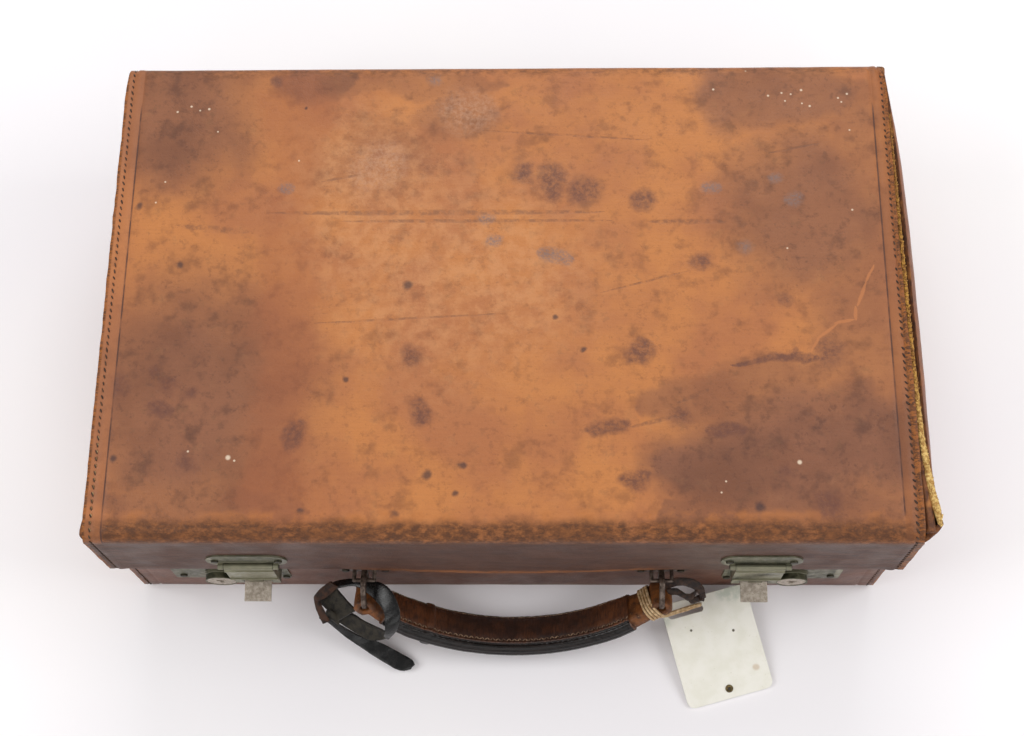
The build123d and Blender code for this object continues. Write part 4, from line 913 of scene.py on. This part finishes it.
def dressed(node, materials, soften=0.3):
    """A copy of a drawn solid with softened edges that takes the solid's place."""
    mesh = frame["nodes"][node].data.copy()
    mesh.name = node + "_piece"
    form = bmesh.new()
    form.from_mesh(mesh)
    bmesh.ops.remove_doubles(form, verts=form.verts, dist=2e-6)
    bmesh.ops.dissolve_limit(form, angle_limit=math.radians(1.5), verts=form.verts, edges=form.edges)
    form.to_mesh(mesh)
    form.free()
    mesh.shade_smooth()
    mesh.set_sharp_from_angle(angle=math.radians(38))
    piece = bpy.data.objects.new(node + "_piece", mesh)
    bpy.context.scene.collection.objects.link(piece)
    if soften:
        arris = piece.modifiers.new("arris", "BEVEL")
        arris.width = soften * MM
        arris.segments = 2
        arris.limit_method = "ANGLE"
        arris.angle_limit = math.radians(38)
        arris.use_clamp_overlap = True
    return finish_piece(piece, BODY_OF[node], materials, [node])


tarnish, look = new_finish("tarnished_nickel")
dull = look.step(look.clouds(7, 4, 0.6), 0.38, 0.62)
colour = look.tint(dull, srgb(94, 92, 73), srgb(60, 61, 46))
green = look.step(look.clouds(3, 4, 0.65), 0.56, 0.68)
colour = look.tint(look.both(green, 0.7), colour, srgb(52, 66, 46))
pits = look.step(look.clouds(0.9, 3, 0.6), 0.60, 0.70)
colour = look.tint(look.both(pits, 0.8), colour, srgb(46, 42, 30))
# painted highlight: convex edges are lightened to pale nickel, partly real rubbing of the plating and partly
# the bright lines that light draws along them
rubbed_and_highlit = look.step(look.put("NewGeometry").outputs["Pointiness"], 0.51, 0.57)
colour = look.tint(look.both(rubbed_and_highlit, 0.6), colour, srgb(168, 164, 140))
rough = look.step(look.clouds(4, 3), 0.3, 0.7, 0.30, 0.52)
connect(look, colour, rough, look.sums("SUBTRACT", look.clouds(1.4, 3), pits), 0.08, metallic=0.72)
grey_steel, look = new_finish("grey_steel")
dull = look.step(look.clouds(5, 4, 0.6), 0.38, 0.62)
colour = look.tint(dull, srgb(150, 140, 128), srgb(112, 98, 86))
rust = look.step(look.clouds(2.4, 4, 0.65), 0.55, 0.68)
colour = look.tint(look.both(rust, 0.6), colour, srgb(92, 64, 44))
connect(look, colour, look.step(look.clouds(3, 3), 0.3, 0.7, 0.34, 0.55), look.clouds(1.2, 3), 0.08,
        metallic=0.6)
old_iron, look = new_finish("old_iron")
colour = look.tint(look.step(look.clouds(3, 4, 0.65), 0.38, 0.62), srgb(112, 98, 88), srgb(62, 48, 40))
connect(look, colour, look.step(look.clouds(3, 3), 0.3, 0.7, 0.30, 0.5), look.clouds(1.2, 3), 0.08,
        metallic=0.6)
tab_steel, look = new_finish("tab_steel")
dull = look.step(look.clouds(3, 4, 0.65), 0.36, 0.64)
colour = look.tint(dull, srgb(186, 174, 160), srgb(148, 136, 122))
specks = look.step(look.clouds(1.2, 3, 0.6), 0.58, 0.68)
colour = look.tint(look.both(specks, 0.6), colour, srgb(110, 98, 84))
connect(look, colour, 0.5, look.clouds(0.9, 3), 0.1, metallic=0.35)
old_brass, look = new_finish("old_brass")
colour = look.tint(look.step(look.clouds(1.5, 3), 0.35, 0.65), srgb(134, 116, 78), srgb(66, 54, 36))
connect(look, colour, 0.38, look.clouds(0.8, 3), 0.06, metallic=0.8)
dark_metal, look = new_finish("dark_metal")
colour = look.tint(look.step(look.clouds(2, 3), 0.35, 0.65), srgb(72, 68, 52), srgb(40, 38, 30))
connect(look, colour, 0.5, look.clouds(0.8, 3), 0.06, metallic=0.7)

METAL = {"tarnished_nickel": tarnish, "grey_steel": grey_steel, "old_brass": old_brass}
for node, slot in SLOT_OF.items():
    if slot not in METAL or node == "tag_eyelet" or node.startswith("handle_ring"):
        continue
    finish = METAL[slot]
    if node.startswith(("thumb_lever", "key_plug")):
        finish = tab_steel
    if node.startswith("handle_staple"):
        finish = old_iron
    if node.endswith("rivets") or node.startswith(("lock_rivets", "hasp_pin")):
        finish = dark_metal
    dressed(node, [finish], 0.35 if node.startswith(("lid_plate", "lock_plate", "hasp_l",
                                                     "hasp_r")) else 0.2)

# Linings and boards: brown cotton glued over straw board inside both halves.
# They keep the drawn forms, with their edges a little softened.
lining_cloth, look = new_finish("lining_cloth")
weave = look.sums("ADD", look.put("TexWave", {"Vector": look.place, "Scale": 420.0},
                                  bands_direction="X").outputs[1],
                                  look.put("TexWave", {"Vector": look.place, "Scale": 420.0},
                                           bands_direction="Y").outputs[1])
stained = look.step(look.clouds(40, 4), 0.45, 0.7)
colour = look.tint(stained, srgb(168, 144, 112), srgb(126, 98, 70))
connect(look, look.tint(look.both(weave, 0.18), colour, srgb(96, 76, 54)), 0.9, weave, 0.12)
straw_board, look = new_finish("straw_board")
connect(look, look.tint(look.step(look.clouds(3, 4), 0.35, 0.65), srgb(168, 138, 96), srgb(132, 104, 70)),
        0.9, look.clouds(1.2, 3), 0.2)
for node in ("lid_lining", "base_lining"):
    dressed(node, [lining_cloth], 0.3)
for node in ("lid_board", "base_board"):
    dressed(node, [straw_board], 0.3)

# Handle: a thick padded band bent to a bow, folded round each ring. Its cover is dark with sweat,
# stitched in two rows, with a burnished laminated edge in front and worn tan ends.
ARC, ARC_CENTRE, SHIFT = 141.49, -88.07, 5.0
DROOP = math.radians(60)
ZIGZAG_PITCH = 3.75


def on_bow(turn, outward, forward):
    """A point of the bow: angle from its middle, outward from its centre line, forward across its width."""
    along = (ARC + outward) * math.sin(turn)
    down = ARC_CENTRE + (ARC + outward) * math.cos(turn)
    return (SHIFT + along, -167.6 - down * math.cos(DROOP) - forward * math.sin(DROOP),
            58 - down * math.sin(DROOP) + forward * math.cos(DROOP))


def bow_frame(turn):
    """Directions along the bow and outward from it."""
    along = (math.cos(turn), math.sin(turn) * math.cos(DROOP), math.sin(turn) * math.sin(DROOP))
    out = (math.sin(turn), -math.cos(turn) * math.cos(DROOP), -math.cos(turn) * math.sin(DROOP))
    return along, out


FORWARD = (0.0, -math.sin(DROOP), math.cos(DROOP))
# the cover's section as outward, forward and the material there: 0 cover, 1 burnished edge
GRIP_SECTION = [(5.6, -10.5, 0), (5.9, -4, 0), (5.9, 4, 0), (5.7, 8.0, 0), (5.6, 10.0, 1), (5.2, 11.8, 1),
                (4.4, 13.2, 1), (3.2, 14.4, 1), (1.8, 15.1, 1), (0.9, 15.2, 1), (0.5, 15.0, 1),
                (0.1, 15.3, 1), (-1.4, 15.2, 1), (-2.8, 14.8, 1), (-3.9, 14.2, 1), (-4.6, 13.5, 1),
                (-4.9, 12.9, 1), (-4.7, 12.5, 1), (-6.2, 12.3, 0), (-6.6, 11.9, 0), (-6.7, 11.2, 0),
                (-6.5, 10.4, 0), (-6.0, 9.7, 0), (-5.8, 9.1, 0), (-6.0, 8.5, 0), (-6.5, 7.4, 0),
                (-6.8, 4.5, 0), (-6.9, 1, 0), (-6.8, -3, 0), (-6.4, -7, 0), (-5.9, -9.2, 0),
                (-5.4, -10.2, 0), (-5.4, -11.0, 0), (-5.2, -12.0, 0), (-4.3, -13.1, 0), (-3.0, -14.0, 0),
                (0, -14.6, 0), (3.0, -14.0, 0), (4.9, -12.5, 0)]


def swept(name, section, turns, size, relief):
    """A closed bent bar: the section at each turn, scaled by size and raised by relief, with a flat face
    closing each end.
    """
    points, faces, paints = [], [], []
    count = len(section)
    for turn in turns:
        wide, thick = size(turn)
        for outward, forward, paint in section:
            r, m = outward * thick, forward * wide
            lift = relief(turn, r, m)
            length = math.hypot(r, m * 0.3) or 1
            points.append(on_bow(turn, r + lift * r / length, m + lift * 0.3 * m / length))
    for i in range(len(turns) - 1):
        for j in range(count):
            k = (j + 1) % count
            faces.append((i * count + j, i * count + k, (i + 1) * count + k, (i + 1) * count + j))
            paints.append(section[j][2])
    for row, way in ((0, 1), (len(turns) - 1, -1)):
        ring = list(range(row * count, row * count + count))
        faces.append(tuple(ring if way < 0 else reversed(ring)))
        paints.append(0)
    piece = make_mesh(name, points, faces)
    face_outward(piece)
    piece["paints"] = paints
    return piece


def grip_relief(turn, r, m):
    arc = turn * ARC
    lift = 0.22 * uneven(arc, m, 2.1, 31) + 0.3 * uneven(arc, m, 14, 32)
    if r < -5 and 9.9 < m < 12.6:
        lift += 0.8 * abs(math.sin(math.pi * arc / ZIGZAG_PITCH)) - 0.35
    if m > 13 or r > 4:
        lift *= 0.4
    seam = abs(arc + 59.0)
    if seam < 3.4 and m < 13.5:
        lift += 0.9 * (1 - (seam / 3.4) ** 4)
    return lift


def grip_size(turn):
    fade = max(0.0, (abs(turn) - math.radians(29)) / math.radians(9))
    return 1 - 0.10 * fade, 1 - 0.12 * fade


grip_turns = [math.radians(a) for a in np.arange(-37.0, 33.6, 0.28)]
grip = swept("handle_grip_leather", GRIP_SECTION, grip_turns, grip_size, grip_relief)
grip_cover, look = new_finish("grip_leather")
position = look.put("SeparateXYZ", {0: look.place}).outputs
wrinkles = look.clouds(1, 3, 0.6, look.moved(scale=(0.8, 7, 7)))
wrinkle = look.step(wrinkles, 0.42, 0.60)
tone = look.step(look.clouds(9, 4, 0.6), 0.36, 0.66)
colour = look.tint(tone, srgb(48, 30, 23), srgb(76, 45, 29))
to_end = look.step(look.sums("ADD", look.sums("ABSOLUTE", look.sums("SUBTRACT", position[0], 0.009)),
                             look.both(look.clouds(14, 3), 0.02)), 0.042, 0.078)
colour = look.tint(look.both(to_end, look.step(look.clouds(5, 4), 0.3, 0.6, 0.3, 0.9)), colour,
                   srgb(110, 64, 35))
colour = look.tint(look.both(wrinkle, 0.55), colour, srgb(38, 23, 18))
connect(look, colour, look.step(look.clouds(4, 3), 0.3, 0.7, 0.36, 0.55), wrinkles, 0.5,
        Specular_IOR_Level=0.5)
burnished, look = new_finish("burnished_edge")
layers = look.clouds(1, 3, 0.6, look.moved(scale=(14, 0.9, 0.9)))
colour = look.tint(look.step(layers, 0.4, 0.62), srgb(12, 8, 7), srgb(30, 21, 18))
connect(look, colour, look.step(layers, 0.3, 0.7, 0.20, 0.34), layers, 0.15, Specular_IOR_Level=0.3)


def painted(piece, body, materials, nodes=()):
    paints = list(piece["paints"])
    del piece["paints"]
    finish_piece(piece, body, materials, nodes)
    piece.data.polygons.foreach_set("material_index", paints)
    return piece


painted(grip, "handle", [grip_cover, burnished], ["handle_grip"])

old_thread, look = new_finish("old_thread")
connect(look, look.tint(look.step(look.clouds(4, 3), 0.4, 0.6), srgb(150, 122, 98), srgb(96, 72, 56)), 0.8,
        look.clouds(0.5, 2), 0.1)
zigzag, thin_row = [], []
for k in range(46):
    turn = math.radians(-35.8) + k * ZIGZAG_PITCH / ARC
    for half in (0, 1):
        a = turn + half * 1.87 / ARC
        along, out = bow_frame(a)
        up = tuple(-c for c in out)
        zigzag.append((on_bow(a, -6.35, 9.5), along, up, 1.0 if half else -1.0))
    for half in (0, 1):
        a = turn + half * 1.87 / ARC
        along, out = bow_frame(a)
        up = tuple(-0.92 * o - 0.39 * f for o, f in zip(out, FORWARD))
        thin_row.append((on_bow(a, -5.62, -10.9), along, up, 0.4 if half else -0.4))
sew("grip_zigzag", zigzag, 3.6, 0.95, 0.9, 52, 7, 21, old_thread, "handle")
sew("grip_thin_row", thin_row, 2.0, 0.6, 0.6, 34, 10, 22, old_thread, "handle")

# Handle ends: the tan leather band under the cover goes on past it to each ring.
# There it is folded round the ring's bar and sewn back on itself.
worn_tan, look = new_finish("worn_tan")
tone = look.step(look.clouds(8, 4, 0.6), 0.36, 0.62)
colour = look.tint(tone, srgb(126, 75, 36), srgb(84, 50, 27))
dark = look.step(look.clouds(4, 4, 0.65), 0.52, 0.68)
colour = look.tint(look.both(dark, 0.8), colour, srgb(54, 34, 24))
rub = look.step(look.clouds(2, 4, 0.65), 0.60, 0.72)
colour = look.tint(look.both(rub, 0.5), colour, srgb(206, 148, 92))
connect(look, colour, look.step(look.clouds(5, 3), 0.3, 0.7, 0.42, 0.6), look.clouds(1.6, 4), 0.4,
        Specular_IOR_Level=0.3)
BAND = [(4.6, -9.6, 0), (4.8, 0, 0), (4.6, 9.6, 0), (3.4, 11.0, 0), (0, 11.4, 0), (-3.4, 11.0, 0),
        (-4.7, 9.6, 0), (-4.9, 5, 0), (-5.0, 0, 0), (-4.9, -5, 0), (-4.7, -9.6, 0), (-3.4, -11.0, 0),
        (0, -11.4, 0), (3.4, -11.0, 0)]
RING_X = 96.5
EYE_STEPS = 40
BAND_START, BAND_END = 30.5, 41.6
pieces = []
for side in (-1, 1):
    turns = sorted(side * math.radians(a) for a in np.arange(BAND_START, BAND_END, 0.6))
    band = swept("handle_end_" + ("left" if side < 0 else "right"), BAND, turns,
                 lambda turn: (1.10 - 0.012 * (abs(math.degrees(turn)) - BAND_START),
                               1.02 - 0.022 * (abs(math.degrees(turn)) - BAND_START)), lambda turn, r,
                               m: 0.35 * uneven(turn * ARC, m, 6, 41) + 0.2 * uneven(turn * ARC, m, 2.5,
                                                                                     42))
    pieces.append(band)
    # the fold is a thick tube round the ring's bar
    eye_turn = side * math.asin(RING_X / ARC)
    rim = [(2.75, 10.2), (3.1, 10.9), (4.4, 11.4), (5.8, 11.2), (6.5, 10.2), (6.6, 4), (6.5, -4),
           (6.4, -10.0), (5.6, -10.8), (4.0, -10.9), (2.8, -10.2), (2.7, 0)]
    points = []
    along, out = bow_frame(0.0)
    centre = Vector(on_bow(eye_turn, 0, 0))
    for k in range(EYE_STEPS):
        a = 2 * math.pi * k / EYE_STEPS
        for radius, forward in rim:
            flare = 1 + 0.10 * math.cos(2 * a) + 0.05 * uneven(a * 3, forward, 4, 43 + side)
            if radius < 3.3:
                flare = 1.0
            wide = radius * flare
            reach = Vector(along) * (wide * math.cos(a)) + Vector(out) * (wide * math.sin(a))
            points.append(tuple(centre + reach + Vector(FORWARD) * (forward + 0.4 * uneven(a * 4, radius,
                                                                                           3, 47))))
    eye = make_mesh("handle_eye_" + ("left" if side < 0 else "right"), points,
                    quads(EYE_STEPS, len(rim), True, True))
    face_outward(eye)
    eye["paints"] = [0] * len(eye.data.polygons)
    pieces.append(eye)
for k, piece in enumerate(pieces):
    painted(piece, "handle", [worn_tan], ["handle_core"] if k == 0 else ())

# Rings: bent from half-round steel wire, one at each end of the handle.
# They hang on the staples' bars, and the leather has rubbed them bare and grey-brown.
for side in ("left", "right"):
    dressed("handle_ring_" + side, [old_iron], 0.5)


# Luggage strap: glossy black strap leather, run through the left ring as a loop, its tail lying loose.
# The flesh side shows grey-brown inside the loop; a folded brown keeper holds both layers.
def ribbon(name, pairs, thickness, bulge=0.0, wrinkle=0.0, steps=6):
    """A strap between two edges given as pairs of points; bulge arches it, wrinkle makes it uneven."""
    lines = smooth_path([tuple(a) + tuple(b) for a, b in pairs], steps)
    points = []
    across = 7
    for i, line in enumerate(lines):
        a, b = Vector(line[:3]), Vector(line[3:])
        near, far = lines[max(i - 1, 0)], lines[min(i + 1, len(lines) - 1)]
        along = Vector(far[:3] + far[3:]) - Vector(near[:3] + near[3:])
        up = (b - a).cross(along).normalized()
        for k in range(across):
            t = k / (across - 1)
            lift = bulge * (1 - (2 * t - 1) ** 2) + wrinkle * uneven(i * 0.9, t * 6, 2.2, 51)
            points.append(tuple(a.lerp(b, t) + up * lift))
    strap = make_mesh(name, points, quads(len(lines), across))
    wall = strap.modifiers.new("thickness", "SOLIDIFY")
    wall.thickness = thickness * MM
    wall.offset = 0
    wall.material_offset_rim = 1
    arris = strap.modifiers.new("arris", "BEVEL")
    arris.width = thickness * 0.28 * MM
    arris.segments = 2
    arris.limit_method = "ANGLE"
    arris.angle_limit = math.radians(50)
    return strap


black_leather, look = new_finish("black_leather")
colour = look.tint(look.step(look.clouds(6, 4), 0.4, 0.65), srgb(9, 9, 10), srgb(20, 19, 19))
rub = look.step(look.clouds(1, 4, 0.65, look.moved(scale=(3, 1.2, 1.2))), 0.58, 0.70)
colour = look.tint(look.both(rub, 0.5), colour, srgb(46, 42, 38))
connect(look, colour, look.step(look.clouds(3, 3), 0.3, 0.7, 0.20, 0.32), look.clouds(1.0, 4), 0.12,
        Specular_IOR_Level=0.4)
strap_edge, look = new_finish("strap_edge")
connect(look, look.tint(look.step(look.clouds(2, 3), 0.35, 0.65), srgb(66, 61, 56), srgb(34, 31, 30)), 0.6,
        look.clouds(0.8, 3), 0.2)
flesh_side, look = new_finish("flesh_side")
colour = look.tint(look.step(look.clouds(4, 4), 0.38, 0.64), srgb(50, 45, 36), srgb(26, 23, 20))
connect(look, colour, 0.65, look.clouds(1.2, 4), 0.35, Specular_IOR_Level=0.25)
LOOP = [((-113.6, -170.6, 42.8), (-116.2, -166.3, 39.0)), ((-107.8, -169.8, 46.8), (-109.7, -164.9, 44.0)),
        ((-98.4, -169.6, 49.5), (-99.3, -164.7, 48.5)), ((-90.4, -173.8, 51.5), (-90.6, -166.5, 52.0)),
        ((-83.1, -180.9, 56.5), (-80.0, -169.8, 60.0)), ((-78.4, -186.8, 57.9), (-72.8, -176.0, 61.5)),
        ((-77.1, -191.7, 56.5), (-68.3, -185.2, 60.0)), ((-77.2, -196.8, 54.3), (-67.4, -192.1, 57.5)),
        ((-77.8, -200.0, 49.4), (-70.4, -198.3, 49.9)), ((-78.5, -200.6, 44.4), (-76.7, -201.9, 39.3))]
FLESH = [((-77.6, -198.7, 44.1), (-76.0, -201.6, 40.2)), ((-82.5, -195.7, 41.4), (-82.2, -202.0, 34.7)),
         ((-87.5, -193.1, 39.4), (-88.6, -201.3, 31.1)), ((-94.4, -189.2, 36.7), (-95.5, -197.8, 28.2)),
         ((-100.3, -185.1, 34.8), (-104.1, -192.4, 25.1)), ((-106.1, -182.7, 34.2), (-111.4, -187.7, 25.6)),
         ((-112.6, -179.4, 31.6), (-118.1, -183.1, 23.5))]
SLAB = [((-111.7, -169.3, 43.1), (-125.1, -173.5, 29.2)), ((-108.1, -173.3, 43.1), (-121.5, -177.7, 29.7)),
        ((-102.9, -179.1, 43.8), (-115.5, -183.3, 31.0)), ((-97.6, -184.6, 44.7), (-110.1, -188.6, 32.1))]
TAIL = [((-119.5, -183.4, 28.0), (-124.2, -185.5, 27.0)), ((-114.5, -186.3, 24.5), (-119.2, -187.1, 23.5)),
        ((-108.8, -190.2, 20.5), (-114.2, -190.3, 19.5)), ((-99.9, -194.4, 14.5), (-107.3, -195.4, 13.5)),
        ((-92.8, -196.4, 11.5), (-99.4, -200.6, 10.5)), ((-85.3, -198.3, 9.0), (-90.9, -206.1, 8.0)),
        ((-74.5, -203.2, 5.5), (-80.8, -211.7, 4.5)), ((-68.9, -206.1, 4.6), (-74.1, -215.3, 3.6)),
        ((-63.5, -209.1, 4.0), (-69.4, -216.3, 3.0)), ((-61.5, -212.0, 3.8), (-64.0, -215.0, 2.8))]
KEEPER = [((-114.9, -165.6, 45.6), (-109.5, -168.8, 46.2)),
          ((-121.5, -168.9, 40.6), (-117.3, -174.0, 39.9)),
          ((-125.4, -172.3, 36.9), (-121.9, -175.7, 37.0)),
          ((-126.4, -174.2, 34.5), (-122.6, -177.1, 34.9)),
          ((-125.2, -180.0, 33.1), (-120.9, -180.4, 34.7)),
          ((-122.7, -185.9, 31.3), (-118.2, -185.0, 33.5)),
          ((-120.3, -190.2, 30.2), (-116.1, -189.0, 32.4))]
loop = ribbon("luggage_strap_loop", LOOP, 2.0, -0.5)
finish_piece(loop, "luggage_strap", [black_leather, strap_edge], ["luggage_strap"])
for name, pairs, material, wrinkle in (("luggage_strap_inside", FLESH, flesh_side, 0.2),
                                       ("luggage_strap_end", SLAB, flesh_side, 0.4),
                                       ("luggage_strap_tail", TAIL, black_leather, 0.3)):
    finish_piece(ribbon(name, pairs, 2.0, 0.3, wrinkle), "luggage_strap",
                 [material, strap_edge])
keeper_leather, look = new_finish("keeper_leather")
colour = look.tint(look.step(look.clouds(4, 4), 0.36, 0.62), srgb(34, 21, 16), srgb(66, 40, 25))
connect(look, colour, 0.5, look.clouds(1.4, 4), 0.35, Specular_IOR_Level=0.25)
finish_piece(ribbon("strap_keeper_band", KEEPER, 1.9, -0.6, 0.2), "luggage_strap",
             [keeper_leather, keeper_leather], ["strap_keeper"])
WISP = [((-117.5, -181.5, 36), (-119.5, -184.5, 33)), ((-114.5, -183.0, 35.5), (-117.0, -186.5, 32)),
        ((-111.5, -185.0, 34), (-114.0, -188.5, 30.5)), ((-109.0, -187.3, 31), (-111.0, -190.5, 27.5))]
finish_piece(ribbon("luggage_strap_wisp", WISP, 1.2, 1.0, 0.8), "luggage_strap",
             [flesh_side, strap_edge])

# Torn strap: the dark remains of a thin leather label strap, left in the right ring.
# It was torn through, and its strips have dried twisted round the ring.
torn_leather, look = new_finish("torn_leather")
colour = look.tint(look.step(look.clouds(2.4, 4, 0.65), 0.38, 0.62), srgb(30, 20, 16), srgb(62, 42, 30))
connect(look, colour, 0.5, look.clouds(1.2, 4), 0.5, Specular_IOR_Level=0.3)
TORN = [[((103.6, -166.8, 53), (104.6, -170.8, 50)), ((108.4, -165.9, 57), (110.2, -170.0, 54)),
         ((114.6, -165.6, 58), (114.8, -169.9, 56)), ((120.4, -166.0, 57), (119.0, -170.0, 53)),
         ((126.3, -167.6, 54), (123.6, -171.3, 50)), ((129.7, -171.4, 50), (127.2, -174.5, 45)),
         ((130.6, -175.6, 46), (128.2, -177.0, 43))],
         [((104.9, -171.3, 50), (106.2, -174.1, 48)), ((110.6, -170.6, 50), (110.4, -174.2, 48)),
          ((114.1, -172.2, 48), (115.4, -175.6, 47)), ((119.1, -174.0, 48), (119.3, -177.2, 45)),
          ((123.9, -172.6, 50), (122.4, -176.2, 48)), ((126.4, -169.0, 53), (123.8, -171.0, 50))],
          [((118.0, -176.0, 45), (120.4, -178.6, 43)), ((123.0, -175.4, 44), (124.0, -178.3, 42)),
           ((127.0, -173.6, 43), (128.2, -176.6, 41)), ((130.2, -174.6, 42), (130.0, -177.0, 41))], ]
for k, pairs in enumerate(TORN):
    strip = ribbon("torn_strap_" + "abc"[k], pairs, 1.6, 0.7, 0.6)
    finish_piece(strip, "handle_ring_right", [torn_leather, torn_leather],
                 ["torn_strap"] if k == 0 else ())

# Thong: a pale rawhide lace that ties the tag to the handle.
# It is wound four times round the handle's right end, and both strands run on through the tag's slot.
rawhide, look = new_finish("rawhide")
colour = look.tint(look.step(look.clouds(2.5, 4), 0.36, 0.64), srgb(208, 180, 140), srgb(160, 124, 82))
connect(look, colour, 0.6, look.clouds(0.9, 3), 0.2)
for k in range(4):
    turn = math.radians(38.1 + k * 0.92)
    path = []
    for s in range(16):
        a = 2 * math.pi * s / 16
        reach, width = (6.3 + 0.25 * k) * math.cos(a), 12.4 * math.sin(a)
        flat = 1 / max(abs(math.cos(a)), abs(math.sin(a))) ** 0.55
        path.append(on_bow(turn + 0.020 * math.sin(a), reach * flat, width * min(flat, 1.05)))
    finish_piece(tube("thong_turn_" + "abcd"[k], path, 0.95, True), "handle", [rawhide],
                 ["tag_thong"] if k == 0 else ())
STRANDS = [[(97.9, -184.3, 36.0), (104.0, -184.3, 33.5), (112.7, -180.8, 28.0), (119.0, -177.9, 23.5),
            (125.3, -175.1, 19.0), (130.0, -173.2, 14.6), (129.4, -172.2, 11.2)],
            [(100.0, -186.0, 33.0), (106.3, -184.6, 30.0), (112.9, -181.5, 25.4), (119.3, -178.9, 21.0),
             (125.0, -176.1, 17.5), (129.6, -174.2, 14.8), (129.2, -173.4, 11.4)], ]
for k, path in enumerate(STRANDS):
    finish_piece(tube("thong_strand_" + "ab"[k], path, 0.9), "handle", [rawhide])

# Tag: a blank ivory card with a slot for the thong and a brass eyelet pressed in at its foot.
# It is greenish with damp at its upper corners.
ivory, look = new_finish("ivory_card")
position = look.put("SeparateXYZ", {0: look.place}).outputs
flat = look.put("VectorMath", {0: look.place, 1: (1, 1, 0)}, operation="MULTIPLY").outputs[0]
base = look.tint(look.step(look.clouds(12, 4), 0.35, 0.65), srgb(245, 242, 232), srgb(238, 235, 222))
damp = look.most([look.spot(97, -181, 13, 8, 0, 0.8, flat), look.spot(150, -164, 9, 6, 0, 0.8, flat)])
damp = look.both(damp, look.step(look.clouds(5, 4), 0.3, 0.6))
colour = look.tint(look.both(damp, 0.75), base, srgb(190, 198, 182))
rust = look.spot(166.5, -213.5, 2.2, 1.8, 0, 0.6, flat)
colour = look.tint(look.both(rust, 0.45), colour, srgb(190, 152, 104))
pin = look.most([look.spot(123.5, -190.5, 0.8, 0.8, 0, 0.3, flat),
                 look.spot(151.8, -190.0, 0.9, 0.9, 0, 0.3, flat)])
colour = look.tint(pin, colour, srgb(96, 88, 70))
freckle = look.step(look.clouds(1.4, 3), 0.66, 0.74)
colour = look.tint(look.both(freckle, 0.35), colour, srgb(186, 178, 150))
connect(look, colour, 0.62, look.clouds(2, 3), 0.06)
dressed("tag_card", [ivory], 0.25)
dressed("tag_eyelet", [old_brass], 0.25)
